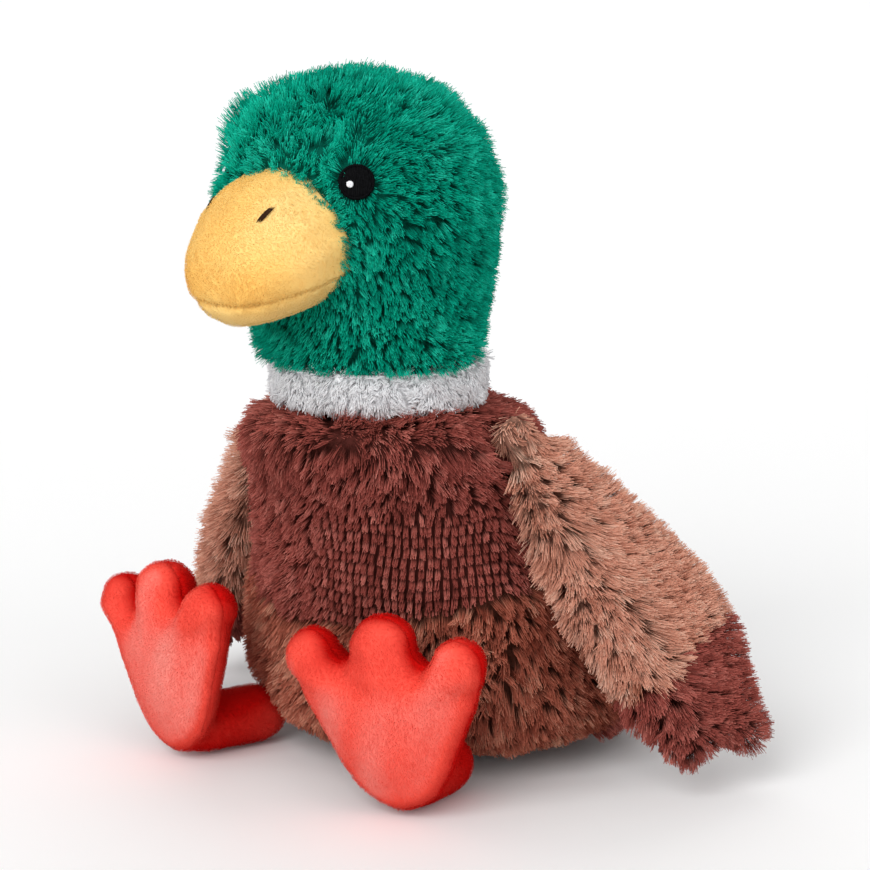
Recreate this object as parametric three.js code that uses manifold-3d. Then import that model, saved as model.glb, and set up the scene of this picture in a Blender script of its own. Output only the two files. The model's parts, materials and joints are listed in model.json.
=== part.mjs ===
// A heatable plush mallard duck, sitting with its legs stretched out in front.
// Millimetres, +Z up. The duck looks along -Y, its left side is +X, and the origin is on the table
// under the middle of its seat. Outer sizes run to the tips of the pile.

import * as THREE from "three";
import { mergeVertices } from "three/addons/utils/BufferGeometryUtils.js";
import Module from "manifold-3d";

const wasm = await Module();
wasm.setup();

// Cloth, pile included, and the gaps between pieces
const PILE = 8;
const LIMB_PILE = 6;
const COLLAR_PILE = 5;
const VELOUR = 2.5;
const POUCH_CLOTH = 1.2;
const SEAM_GAP = 0.3;
const JOINT_GAP = 0.7;

// Torso. Each level is an ellipse: its height, width and depth, and its middle's place along Y
const SEAT = { at: 0, width: 162, depth: 160, shift: 9 };
const BELLY = { at: 36, width: 170, depth: 168, shift: 9 };
const WAIST = { at: 72, width: 158, depth: 154, shift: 0 };
const CHEST = { at: 108, width: 132, depth: 130, shift: -15 };
const TORSO_HEIGHT = 148;
const SEAT_ROUND = 34;
const SHOULDER_ROUND = 14;
const SEAT_SEAM = 15; // height of the seam round the seat panel
const BIB_LOW = 66; // lowest point of the dark bib, in front
const BIB_SIDE = 92; // height of its edge at the sides
const POUCH_TOP = 100; // the grain pouch fills the torso up to here, and fibre fills the rest

// Neck and its white collar
const NECK_RADIUS = 42;
const NECK_SHIFT = -37; // the neck's place along Y
const COLLAR_HEIGHT = 15;
const COLLAR_LEDGE = 1; // the flat top of the shoulders is this much wider all round than the collar
const NECK_BALL = 80; // radius of the hollow that the head rocks in

// Head, measured up from the collar and round the neck's axis
const JAW = { at: 27, width: 100, depth: 100, shift: -6 };
const CHEEK = { at: 57, width: 114, depth: 116, shift: -11 };
const CROWN = { at: 112, width: 112, depth: 112, shift: -5 };
const CROWN_ROUND = 50;
const GUSSET_WIDTH = 44; // the strip over the head, between the two cheek panels

// Bill, measured along its own axis from the neck's axis
const BILL_RISE = 62;
const BILL_TILT = 12; // degrees down
const BILL_ROOT = { at: 34, width: 62, depth: 58, shift: 2 };
const BILL_BASE = { at: 62, width: 66, depth: 56, shift: 0 };
const BILL_FRONT = { at: 78, width: 52, depth: 46, shift: -4 };
const BILL_END = { at: 95, width: 44, depth: 38, shift: -8 };
const BILL_ROUND = 16;
const MOUTH_DROP = 14; // the mouth seam lies this far below the bill's axis
const NOSTRIL_AT = 75;
const NOSTRIL_ANGLE = 58; // degrees round the bill from its side to its top
const NOSTRIL_LENGTH = 8;
const NOSTRIL_RADIUS = 0.8;

// Embroidered eyes
const EYE_RISE = 76;
const EYE_ANGLE = 41; // degrees from straight ahead
const EYE_RADIUS = 6.6;
const EYE_RIM = 1;
const EYE_CROWN = 2.2; // height of the stitching in the middle of an eye
const EYE_HOLLOW = 4.5; // depth of the hollow that the pile leaves round an eye
const GLINT_RADIUS = 1.3;
const GLINT_THICKNESS = 0.5;
const GLINT_PLACE = 3.6; // from the middle of the eye towards the bill

// Wings. Levels run from the shoulder seam to the tip, and depth is the thickness
const WING_HEIGHT = 141;
const WING_ANGLE = 14; // degrees round the torso, behind its widest line
const WING_OFFSET = 2.5; // the seam's axis lies this far outside the torso
const WING_SPREAD = 34; // degrees out from straight down
const WING_SWEEP = 26; // degrees back
const WING_TWIST = 37; // degrees that the face turns to the front
const WING_ROOT = { at: 0, width: 34, depth: 18, shift: 0 };
const WING_MIDDLE = { at: 58, width: 68, depth: 27, shift: 0 };
const WING_WRIST = { at: 106, width: 72, depth: 25, shift: 0 }; // the dark tip starts here
const WING_END = { at: 150, width: 60, depth: 21, shift: 0 };
const WING_ROUND = 9.5;

// Legs and webbed feet. The two legs lie a little differently
const LEG_RADIUS = 12.5;
const LEG_LIFT = 0.5; // clearance of the legs over the table
const LEG_LENGTH = { left: 30, right: 36 }; // from the hip's centre to the middle of the foot
const LEG_PLACE = 48; // distance of the hip from the middle line
const LEG_SPLAY = 12; // degrees outwards
const HIP_OFFSET = 8; // the hip's centre lies this far outside the torso
const ANKLE = 8; // the leg's rounded end has its centre this far behind the middle of the foot
const FOOT_LEAN = { left: 6, right: 0 }; // degrees that the toes lean forwards
const FOOT_ROLL = { left: 4, right: -8 }; // degrees that the toes lean to the middle line
const FOOT_DEPTH = 25;
const FOOT_MIDDLE = 42; // the foot's centre, above its heel
const HEEL = { width: 35, height: 8 };
const INSTEP = { width: 61, height: 29 };
const TOE_ROOTS = { width: 88, height: 60 };
const SIDE_TOES = { width: 71, height: 73 };
const WEBS = { width: 36, height: 63 };
const MIDDLE_TOE = { width: 24, height: 75 };
const MIDDLE_TOE_TIP = 82;

// Tail
const TAIL_HEIGHT = 42;
const TAIL_TILT = 32; // degrees up from level
const TAIL_OFFSET = 2; // the seam's axis lies this far outside the torso
const TAIL_ROOT = { at: 0, width: 54, depth: 17, shift: 0 };
const TAIL_MIDDLE = { at: 20, width: 52, depth: 19, shift: 0 };
const TAIL_END = { at: 44, width: 38, depth: 17, shift: 0 };
const TAIL_ROUND = 7.5;

// Facets
const BODY_SIDES = 20;
const BODY_STEPS = 5;
const LIMB_SIDES = 12;
const LIMB_STEPS = 4;
const ROUND_STEPS = 3;
const FOOT_SIDES = 28;
const FOOT_STEPS = 3;
const TRIM_SIDES = 12;

const FAR = 400; // past the whole duck, for cutting blocks
const EDGE = 1.5; // half the thickness left at the sewn end of a wing or tail
const QUARTER_TURN = Math.PI / 2;
const radians = THREE.MathUtils.degToRad;
const vector = (x, y, z) => new THREE.Vector3(x, y, z);

const material = (color, roughness) => new THREE.MeshStandardMaterial({ color, roughness, metalness: 0 });
const GREEN_PLUSH = material(0x0b8a63, 0.9);
const WHITE_PLUSH = material(0xe6e6ea, 0.9);
const DARK_PLUSH = material(0x5e3730, 0.9);
const TAN_PLUSH = material(0xa87760, 0.9);
const RED_VELOUR = material(0xf4463c, 0.8);
const YELLOW_VELOUR = material(0xf6c465, 0.8);
const BLACK_THREAD = material(0x111112, 0.7);
const WHITE_THREAD = material(0xf2f2f4, 0.6);
const BROWN_THREAD = material(0x30190f, 0.7);
const FIBRE = material(0xf3f1ea, 1);
const COTTON = material(0xe8dfca, 0.95);
const GRAIN = material(0xc9a561, 0.9);

// Solids and pieces

function solid(geometry) {
  const bare = geometry.clone();
  bare.deleteAttribute("normal");
  bare.deleteAttribute("uv");
  const merged = mergeVertices(bare, 1e-4);
  const vertProperties = new Float32Array(merged.attributes.position.array);
  const triVerts = new Uint32Array(merged.index.array);
  return new wasm.Manifold(new wasm.Mesh({ numProp: 3, vertProperties, triVerts }));
}

function addPiece(group, name, cloth, shape) {
  const { vertProperties, triVerts } = shape.getMesh();
  const geometry = new THREE.BufferGeometry();
  geometry.setAttribute("position", new THREE.BufferAttribute(vertProperties, 3));
  geometry.setIndex(new THREE.BufferAttribute(triVerts, 1));
  const mesh = new THREE.Mesh(geometry, cloth);
  mesh.name = name;
  group.add(mesh);
}

function mirrored(geometry) {
  const copy = geometry.clone().scale(-1, 1, 1);
  copy.index.array.reverse();
  return copy;
}

// A cutting block between two corners, turned by a matrix if there is one
function block(low, high, turn = new THREE.Matrix4()) {
  const size = high.clone().sub(low);
  const middle = low.clone().add(high).divideScalar(2);
  const box = new THREE.BoxGeometry(size.x, size.y, size.z).translate(middle.x, middle.y, middle.z);
  return solid(box.applyMatrix4(turn));
}

const above = (z, turn) => block(vector(-FAR, -FAR, z), vector(FAR, FAR, FAR), turn);
const behind = (y, turn) => block(vector(-FAR, y, -FAR), vector(FAR, FAR, FAR), turn);
const leftOf = (x) => block(vector(x, -FAR, -FAR), vector(FAR, FAR, FAR));

// Two pieces of a shape on either side of a cutting plane, with a seam's gap between them
function cutAt(place, plane, shape, turn) {
  const [near, far] = [plane(place + SEAM_GAP / 2, turn), plane(place - SEAM_GAP / 2, turn)];
  return [shape.subtract(far), shape.intersect(near)];
}

// Builds the left side, and the right side mirrored
function onBothSides(parent, build) {
  for (const [side, flip] of [["left", 1], ["right", -1]]) {
    const group = new THREE.Group();
    group.scale.x = flip;
    parent.add(group);
    build(group, side);
  }
}

// Stuffed forms

// A form is a row of levels with rounded ends
function form(levels, startRound, endRound) {
  return { levels, startRound, endRound, from: levels[0].at, to: levels.at(-1).at };
}

// The form inside another, a thickness of cloth away
function drawnIn(outer, by) {
  const levels = outer.levels.map((level) => {
    return { ...level, width: level.width - 2 * by, depth: level.depth - 2 * by };
  });
  return {
    levels,
    startRound: Math.max(outer.startRound - by, 0),
    endRound: Math.max(outer.endRound - by, 0),
    from: outer.from + by,
    to: outer.to - by,
  };
}

// One of the levels' sizes at any place along the form, on a smooth curve through the levels
function sizeAt(levels, key, at) {
  const slope = (n) => {
    const before = levels[Math.max(n - 1, 0)];
    const after = levels[Math.min(n + 1, levels.length - 1)];
    return (after[key] - before[key]) / (after.at - before.at);
  };
  const passed = levels.filter((level) => level.at <= at).length;
  const n = THREE.MathUtils.clamp(passed - 1, 0, levels.length - 2);
  const [start, end] = [levels[n], levels[n + 1]];
  const span = end.at - start.at;
  const t = THREE.MathUtils.clamp((at - start.at) / span, 0, 1);
  const rise = t * t * (3 - 2 * t);
  const bend = t * (1 - t) * span * ((1 - t) * slope(n) - t * slope(n + 1));
  return start[key] + rise * (end[key] - start[key]) + bend;
}

// How much a rounded end takes off a ring's half sizes, at a distance from that end
function endCut(round, distance) {
  const within = Math.max(round - distance, 0);
  return round - Math.sqrt(Math.max(round ** 2 - within ** 2, 0));
}

function ringAt(body, at) {
  const cut = endCut(body.startRound, at - body.from) + endCut(body.endRound, body.to - at);
  return {
    z: at,
    a: sizeAt(body.levels, "width", at) / 2 - cut,
    b: sizeAt(body.levels, "depth", at) / 2 - cut,
    y: sizeAt(body.levels, "shift", at),
  };
}

function ringsOf(body, steps) {
  const inFromEnd = (round, i) => round * (1 - Math.cos((i / ROUND_STEPS) * QUARTER_TURN));
  const [low, high] = [body.from + body.startRound, body.to - body.endRound];
  const places = [];
  for (let i = 0; i < ROUND_STEPS && body.startRound > 0; i++) {
    places.push(body.from + inFromEnd(body.startRound, i));
  }
  for (let i = 0; i <= steps; i++) {
    places.push(low + ((high - low) * i) / steps);
  }
  for (let i = ROUND_STEPS - 1; i >= 0 && body.endRound > 0; i--) {
    places.push(body.to - inFromEnd(body.endRound, i));
  }
  return places.map((at) => ringAt(body, at));
}

// A closed skin over a row of rings of points, with a point in the middle of each end
function skinOver(rings, lowPoint, highPoint) {
  const sides = rings[0].length;
  const top = (rings.length - 1) * sides;
  const [low, high] = [top + sides, top + sides + 1];
  const faces = [];
  for (let j = 0; j < sides; j++) {
    const next = (j + 1) % sides;
    for (let row = 0; row < top; row += sides) {
      const upper = row + sides;
      faces.push(row + j, row + next, upper + next, row + j, upper + next, upper + j);
    }
    faces.push(low, next, j, high, top + j, top + next);
  }
  const geometry = new THREE.BufferGeometry().setFromPoints([...rings.flat(), lowPoint, highPoint]);
  geometry.setIndex(faces);
  return geometry;
}

// A closed skin over elliptical rings
function loft(rings, sides, lowEnd = rings[0].z, highEnd = rings.at(-1).z) {
  const around = Array.from({ length: sides }, (_, j) => (2 * Math.PI * j) / sides);
  const points = rings.map(({ z, a, b, y }) => {
    return around.map((angle) => vector(a * Math.cos(angle), y + b * Math.sin(angle), z));
  });
  return skinOver(points, vector(0, rings[0].y, lowEnd), vector(0, rings.at(-1).y, highEnd));
}

const stuffed = (body, steps, sides) => solid(loft(ringsOf(body, steps), sides));

// An upright round column on the neck's axis
function column(radius, low, high) {
  return loft([low, high].map((z) => ({ z, a: radius, b: radius, y: 0 })), BODY_SIDES);
}

// A point on a form's skin at an angle round it from +X, with the directions out of and along the skin
function skinPoint(body, at, degrees) {
  const place = (z, angle) => {
    const ring = ringAt(body, z);
    return vector(ring.a * Math.cos(angle), ring.y + ring.b * Math.sin(angle), z);
  };
  const angle = radians(degrees);
  const small = 0.001;
  const along = place(at + small, angle).sub(place(at - small, angle)).normalize();
  const round = place(at, angle + small).sub(place(at, angle - small)).normalize();
  return { point: place(at, angle), out: round.cross(along).normalize(), along };
}

// Turns a shape's own Z axis to a direction and moves it to a place
function standingAt(place, direction) {
  const turn = new THREE.Quaternion().setFromUnitVectors(vector(0, 0, 1), direction);
  return new THREE.Matrix4().compose(place, turn, vector(1, 1, 1));
}

// Where the limbs join the torso

const shoulderTop = 2 * (NECK_RADIUS + COLLAR_LEDGE + SHOULDER_ROUND);
const collarLevel = { at: TORSO_HEIGHT, width: shoulderTop, depth: shoulderTop, shift: NECK_SHIFT };
const torsoForm = form([SEAT, BELLY, WAIST, CHEST, collarLevel], SEAT_ROUND, SHOULDER_ROUND);

const wingSeam = skinPoint(torsoForm, WING_HEIGHT, WING_ANGLE);
const wingTurn = new THREE.Matrix4()
  .makeRotationZ(radians(WING_SWEEP))
  .multiply(new THREE.Matrix4().makeRotationY(-radians(WING_SPREAD)));
const wingLength = vector(0, 0, -1).applyMatrix4(wingTurn);
const wingFace = vector(1, 0, 0).applyMatrix4(wingTurn).applyAxisAngle(wingLength, radians(WING_TWIST));
const wingFrame = new THREE.Matrix4()
  .makeBasis(wingFace.clone().cross(wingLength), wingFace, wingLength)
  .setPosition(wingSeam.point.clone().addScaledVector(wingSeam.out, WING_OFFSET));

const hipHeight = LEG_RADIUS + LEG_LIFT;
const hipRing = ringAt(torsoForm, hipHeight);
const hipFront = hipRing.y - hipRing.b * Math.sqrt(1 - (LEG_PLACE / hipRing.a) ** 2);
const legTurn = radians(LEG_SPLAY);
const hip = vector(
  LEG_PLACE + HIP_OFFSET * Math.sin(legTurn),
  hipFront - HIP_OFFSET * Math.cos(legTurn),
  hipHeight,
);

const tailSeam = skinPoint(torsoForm, TAIL_HEIGHT, 90);
const tailFrame = new THREE.Matrix4()
  .makeRotationX(radians(TAIL_TILT) - QUARTER_TURN)
  .setPosition(tailSeam.point.clone().addScaledVector(tailSeam.out, TAIL_OFFSET));

// The rounded sewn end of a wing or tail, about its own X axis
function rootRoll(root, gap) {
  const radius = root.depth / 2 + gap;
  return new THREE.CylinderGeometry(radius, radius, root.width + 2 * gap, LIMB_SIDES).rotateZ(QUARTER_TURN);
}

// Hollows in the torso's pile, in which the roots of the limbs turn
function limbHollows() {
  const groove = (root, frame) => rootRoll(root, JOINT_GAP).applyMatrix4(frame);
  const ball = new THREE.SphereGeometry(LEG_RADIUS + JOINT_GAP, BODY_SIDES, LIMB_SIDES / 2);
  const leftSide = [groove(WING_ROOT, wingFrame), ball.translate(hip.x, hip.y, hip.z)];
  return [...leftSide, ...leftSide.map(mirrored)]
    .map(solid)
    .reduce((all, hollow) => all.add(hollow), solid(groove(TAIL_ROOT, tailFrame)));
}

// Torso

// All that lies behind the side seams, which follow the torso's widest line
function behindSideSeams(place) {
  const outline = new THREE.Shape();
  outline.moveTo(FAR, -FAR);
  outline.lineTo(FAR, FAR);
  outline.lineTo(collarLevel.shift + place, FAR);
  for (const level of torsoForm.levels.toReversed()) {
    outline.lineTo(level.shift + place, level.at);
  }
  outline.lineTo(SEAT.shift + place, -FAR);
  const slab = new THREE.ExtrudeGeometry(outline, { depth: 2 * FAR, bevelEnabled: false });
  const turn = new THREE.Matrix4().makeBasis(vector(0, 1, 0), vector(0, 0, 1), vector(1, 0, 0));
  return solid(slab.applyMatrix4(turn).translate(-FAR, 0, 0));
}

// All that lies above the bib's curved edge
function aboveBibEdge(place) {
  const side = BELLY.width / 2;
  const edge = new THREE.QuadraticBezierCurve(
    new THREE.Vector2(-side, BIB_SIDE + place),
    new THREE.Vector2(0, 2 * BIB_LOW - BIB_SIDE + place),
    new THREE.Vector2(side, BIB_SIDE + place),
  );
  const ends = [new THREE.Vector2(side, FAR), new THREE.Vector2(-side, FAR)];
  const outline = new THREE.Shape([...edge.getPoints(2 * BODY_STEPS), ...ends]);
  const slab = new THREE.ExtrudeGeometry(outline, { depth: 2 * FAR, bevelEnabled: false });
  return solid(slab.rotateX(QUARTER_TURN).translate(0, FAR, 0));
}

function buildTorso(duck) {
  const hollows = limbHollows();
  const inside = (by) => stuffed(drawnIn(torsoForm, by), BODY_STEPS, BODY_SIDES);
  const neckHole = (gap, past) => {
    const plug = column(NECK_RADIUS - COLLAR_PILE - gap, TORSO_HEIGHT - 2 * PILE, TORSO_HEIGHT + past);
    return solid(plug.translate(0, NECK_SHIFT, 0));
  };
  const skin = inside(0).subtract(inside(PILE)).subtract(neckHole(0, PILE)).subtract(hollows);
  const [seat, sides] = cutAt(SEAT_SEAM, above, skin);
  const [front, back] = cutAt(0, behindSideSeams, sides);
  const [belly, chest] = cutAt(0, aboveBibEdge, front);
  const [backRight, backLeft] = cutAt(0, leftOf, back);
  addPiece(duck, "seat_panel", TAN_PLUSH, seat);
  addPiece(duck, "belly_panel", TAN_PLUSH, belly);
  addPiece(duck, "chest_panel", DARK_PLUSH, chest);
  addPiece(duck, "back_left_panel", DARK_PLUSH, backLeft);
  addPiece(duck, "back_right_panel", DARK_PLUSH, backRight);

  const core = PILE + SEAM_GAP;
  const filling = inside(core).add(neckHole(SEAM_GAP, 0)).subtract(hollows);
  const [pouch, fibre] = cutAt(POUCH_TOP, above, filling);
  const pouchInside = (gap) => {
    const wall = POUCH_CLOTH + gap;
    return inside(core + wall).subtract(above(POUCH_TOP - SEAM_GAP - wall));
  };
  const [pouchFront, pouchBack] = cutAt(SEAT.shift, behind, pouch.subtract(pouchInside(0)));
  const grain = pouchInside(SEAM_GAP);
  addPiece(duck, "chest_stuffing", FIBRE, fibre);
  addPiece(duck, "heat_pouch_front", COTTON, pouchFront);
  addPiece(duck, "heat_pouch_back", COTTON, pouchBack);
  addPiece(duck, "grain_fill", GRAIN, grain);
}

// Neck and head

// Height of the ball's underside over the rim of the neck, at a distance from the neck's axis
const ballCentre = Math.sqrt(NECK_BALL ** 2 - NECK_RADIUS ** 2);
const ballAt = (distance, gap) => ballCentre - Math.sqrt((NECK_BALL + gap) ** 2 - distance ** 2);

// Rings over the ball's underside, from its edge to near its middle
function ballRings(edge, gap) {
  const rings = [];
  for (let i = 0; i < ROUND_STEPS; i++) {
    const a = edge * (1 - i / ROUND_STEPS);
    rings.push({ z: ballAt(a, gap), a, b: a, y: 0 });
  }
  return rings;
}

function buildNeck(duck) {
  const neck = new THREE.Group();
  neck.name = "neck";
  neck.position.set(0, NECK_SHIFT, TORSO_HEIGHT + SEAM_GAP + COLLAR_HEIGHT + JOINT_GAP);
  duck.add(neck);
  const foot = -COLLAR_HEIGHT - JOINT_GAP;
  const hollowed = (radius) => {
    const rings = [{ z: foot, a: radius, b: radius, y: 0 }, ...ballRings(radius, JOINT_GAP)];
    return solid(loft(rings, BODY_SIDES, foot, ballAt(0, JOINT_GAP)));
  };
  const hole = solid(column(NECK_RADIUS - COLLAR_PILE, -2 * COLLAR_HEIGHT, COLLAR_HEIGHT));
  addPiece(neck, "neck_collar", WHITE_PLUSH, hollowed(NECK_RADIUS).subtract(hole));
  addPiece(neck, "neck_stuffing", FIBRE, hollowed(NECK_RADIUS - COLLAR_PILE - SEAM_GAP));
  return neck;
}

const napeLevel = { at: 0, width: 2 * NECK_RADIUS, depth: 2 * NECK_RADIUS, shift: 0 };
const headForm = form([napeLevel, JAW, CHEEK, CROWN], 0, CROWN_ROUND);

// The head drawn in from its skin, standing on the ball, and carried on downwards if it is to cut
function headShape(by, past = 0) {
  const edge = NECK_RADIUS - by;
  const rings = ringsOf({ ...drawnIn(headForm, by), from: ballAt(edge, 0) }, BODY_STEPS);
  if (past > 0) {
    return solid(loft([{ ...rings[0], z: -past }, ...rings], BODY_SIDES));
  }
  return solid(loft([...ballRings(edge, 0).slice(1).reverse(), ...rings], BODY_SIDES, ballAt(0, 0)));
}

function buildHead(neck) {
  const head = new THREE.Group();
  head.name = "head";
  neck.add(head);
  const skin = headShape(0).subtract(headShape(PILE, 2 * COLLAR_HEIGHT));
  const strip = leftOf(-GUSSET_WIDTH / 2).subtract(leftOf(GUSSET_WIDTH / 2));
  addPiece(head, "head_crown_panel", GREEN_PLUSH, skin.intersect(strip));
  addPiece(head, "head_stuffing", FIBRE, headShape(PILE + SEAM_GAP));

  const eye = skinPoint(headForm, EYE_RISE, EYE_ANGLE - 90);
  const eyeFrame = standingAt(eye.point.clone().addScaledVector(eye.out, -EYE_HOLLOW), eye.out);
  const hollowRadius = EYE_RADIUS + SEAM_GAP;
  const hollow = new THREE.CylinderGeometry(hollowRadius, hollowRadius, 2 * EYE_HOLLOW, TRIM_SIDES)
    .rotateX(QUARTER_TURN)
    .translate(0, 0, EYE_HOLLOW)
    .applyMatrix4(eyeFrame);
  const cheek = skin.intersect(leftOf(GUSSET_WIDTH / 2 + SEAM_GAP)).subtract(solid(hollow));
  const lathe = (outline) => {
    const points = outline.map(([radius, height]) => new THREE.Vector2(radius, height));
    return new THREE.LatheGeometry(points, TRIM_SIDES).rotateX(QUARTER_TURN);
  };
  const disc = lathe([
    [0, SEAM_GAP],
    [EYE_RADIUS, SEAM_GAP],
    [EYE_RADIUS, EYE_RIM],
    [EYE_RADIUS / 2, EYE_CROWN],
    [0, EYE_CROWN],
  ]).applyMatrix4(eyeFrame);
  const glint = lathe([[0, 0], [GLINT_RADIUS, 0], [GLINT_RADIUS, GLINT_THICKNESS], [0, GLINT_THICKNESS]])
    .translate(0, -GLINT_PLACE, EYE_CROWN + SEAM_GAP)
    .applyMatrix4(eyeFrame);
  onBothSides(head, (group, side) => {
    addPiece(group, `head_${side}_panel`, GREEN_PLUSH, cheek);
    addPiece(group, `eye_${side}`, BLACK_THREAD, solid(disc));
    addPiece(group, `eye_glint_${side}`, WHITE_THREAD, solid(glint));
  });
  buildBill(head);
}

function buildBill(head) {
  const billForm = form([BILL_ROOT, BILL_BASE, BILL_FRONT, BILL_END], 0, BILL_ROUND);
  const billFrame = new THREE.Matrix4()
    .makeRotationX(QUARTER_TURN + radians(BILL_TILT))
    .setPosition(0, 0, BILL_RISE);
  const inside = (by) => {
    const rings = ringsOf({ ...drawnIn(billForm, by), from: BILL_ROOT.at }, LIMB_STEPS);
    return solid(loft(rings, LIMB_SIDES).applyMatrix4(billFrame));
  };
  const face = headShape(-SEAM_GAP);
  const skin = inside(0).subtract(inside(VELOUR)).subtract(face);
  const [lower, upper] = cutAt(-MOUTH_DROP, behind, skin, billFrame);
  addPiece(head, "bill_upper_panel", YELLOW_VELOUR, upper);
  addPiece(head, "bill_lower_panel", YELLOW_VELOUR, lower);
  addPiece(head, "bill_stuffing", FIBRE, inside(VELOUR + SEAM_GAP).subtract(face));

  const { point, out, along } = skinPoint(billForm, NOSTRIL_AT, NOSTRIL_ANGLE);
  const across = along.clone().cross(out);
  const frame = new THREE.Matrix4()
    .makeBasis(across, along, out)
    .setPosition(point.addScaledVector(out, NOSTRIL_RADIUS + SEAM_GAP));
  const stitch = new THREE.CapsuleGeometry(NOSTRIL_RADIUS, NOSTRIL_LENGTH - 2 * NOSTRIL_RADIUS, 2, 6)
    .applyMatrix4(frame)
    .applyMatrix4(billFrame);
  onBothSides(head, (group, side) => addPiece(group, `nostril_${side}`, BROWN_THREAD, solid(stitch)));
}

// Wings and tail, each a flat padded form that turns about its sewn end

function paddedFlap(levels, endRound, frame) {
  const [root] = levels;
  const body = form(levels, root.depth / 2 - EDGE, endRound);
  body.from = -body.startRound;
  const torso = loft(ringsOf(drawnIn(torsoForm, -JOINT_GAP), BODY_STEPS), BODY_SIDES);
  const keepOut = solid(torso.applyMatrix4(frame.clone().invert())).subtract(solid(rootRoll(root, 0)));
  const inside = (by) => stuffed(drawnIn(body, by), LIMB_STEPS, LIMB_SIDES);
  const skin = inside(0).subtract(inside(LIMB_PILE)).subtract(keepOut);
  return { skin, filling: inside(LIMB_PILE + SEAM_GAP).subtract(keepOut) };
}

function placedGroup(parent, name, frame) {
  const group = new THREE.Group();
  group.name = name;
  group.applyMatrix4(frame);
  parent.add(group);
  return group;
}

function buildWings(duck) {
  const levels = [WING_ROOT, WING_MIDDLE, WING_WRIST, WING_END];
  const { skin, filling } = paddedFlap(levels, WING_ROUND, wingFrame);
  const [inner, outer] = cutAt(0, behind, skin);
  const [innerPanel, innerTip] = cutAt(WING_WRIST.at, above, inner);
  const [outerPanel, outerTip] = cutAt(WING_WRIST.at, above, outer);
  onBothSides(duck, (group, side) => {
    const wing = placedGroup(group, `wing_${side}`, wingFrame);
    addPiece(wing, `wing_${side}_outer_panel`, TAN_PLUSH, outerPanel);
    addPiece(wing, `wing_${side}_inner_panel`, TAN_PLUSH, innerPanel);
    addPiece(wing, `wing_${side}_outer_tip`, DARK_PLUSH, outerTip);
    addPiece(wing, `wing_${side}_inner_tip`, DARK_PLUSH, innerTip);
    addPiece(wing, `wing_${side}_stuffing`, FIBRE, filling);
  });
}

function buildTail(duck) {
  const { skin, filling } = paddedFlap([TAIL_ROOT, TAIL_MIDDLE, TAIL_END], TAIL_ROUND, tailFrame);
  const [upper, lower] = cutAt(0, behind, skin);
  const tail = placedGroup(duck, "tail", tailFrame);
  addPiece(tail, "tail_upper_panel", DARK_PLUSH, upper);
  addPiece(tail, "tail_lower_panel", DARK_PLUSH, lower);
  addPiece(tail, "tail_stuffing", FIBRE, filling);
}

// Legs

// The foot's outline in its own plane: from the heel up the left side, round the toes and down again
function footOutline() {
  const leftSide = [HEEL, INSTEP, TOE_ROOTS, SIDE_TOES, WEBS, MIDDLE_TOE].map(
    ({ width, height }) => vector(width / 2, 0, height),
  );
  const rightSide = leftSide.toReversed().map((point) => vector(-point.x, 0, point.z));
  const points = [vector(0, 0, 0), ...leftSide, vector(0, 0, MIDDLE_TOE_TIP), ...rightSide];
  return new THREE.CatmullRomCurve3(points, true).getPoints(FOOT_SIDES).slice(0, FOOT_SIDES);
}

// A foot, drawn in by a thickness: two cushions that meet along the outline
function footShape(by) {
  const middle = vector(0, 0, FOOT_MIDDLE);
  const spokes = footOutline().map((point) => point.sub(middle));
  const depth = FOOT_DEPTH / 2 - by;
  const ring = (reach, bulge) => spokes.map((spoke) => {
    const length = spoke.length() - by;
    return spoke.clone().setLength(length * reach).add(middle).setY(depth * bulge);
  });
  const rings = [];
  for (let i = FOOT_STEPS - 1; i > -FOOT_STEPS; i--) {
    const turn = (i / FOOT_STEPS) * QUARTER_TURN;
    rings.push(ring(Math.cos(turn), Math.sin(turn)));
  }
  return skinOver(rings, vector(0, depth, FOOT_MIDDLE), vector(0, -depth, FOOT_MIDDLE));
}

function legPieces(side) {
  const footFrame = new THREE.Matrix4()
    .makeRotationFromEuler(new THREE.Euler(radians(FOOT_LEAN[side]), -radians(FOOT_ROLL[side]), 0))
    .setPosition(0, -LEG_LENGTH[side], -LEG_RADIUS);
  const reach = LEG_LENGTH[side] - ANKLE;
  const inside = (by) => {
    const leg = new THREE.CapsuleGeometry(LEG_RADIUS - by, reach, LIMB_SIDES / 4, LIMB_SIDES);
    const foot = footShape(by).applyMatrix4(footFrame);
    return solid(leg.translate(0, -reach / 2, 0)).add(solid(foot));
  };
  const [sole, upper] = cutAt(0, behind, inside(0).subtract(inside(VELOUR)), footFrame);
  return { sole, upper, filling: inside(VELOUR + SEAM_GAP) };
}

function buildLegs(duck) {
  const legFrame = new THREE.Matrix4().makeRotationZ(legTurn).setPosition(hip);
  onBothSides(duck, (group, side) => {
    const leg = placedGroup(group, `leg_${side}`, legFrame);
    const { sole, upper, filling } = legPieces(side);
    addPiece(leg, `leg_${side}_upper`, RED_VELOUR, upper);
    addPiece(leg, `leg_${side}_sole`, RED_VELOUR, sole);
    addPiece(leg, `leg_${side}_stuffing`, FIBRE, filling);
  });
}

const duck = new THREE.Group();
buildTorso(duck);
buildHead(buildNeck(duck));
buildWings(duck);
buildTail(duck);
buildLegs(duck);

export default duck;
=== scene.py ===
"""The looks of the heatable plush mallard duck: stuffed skins, combed pile, velour and embroidery.

The duck looks along -Y and its left side is +X. Lengths are in metres, and sizes are written in millimetres
times MM. Every skin starts from the CAD solids of its form, so it sits where the CAD says.
"""

import json
import math
from collections.abc import Callable
from dataclasses import dataclass

import bmesh
import bpy
import numpy as np
from mathutils import Matrix, Vector
from mathutils.bvhtree import BVHTree
from mathutils.kdtree import KDTree


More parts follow.
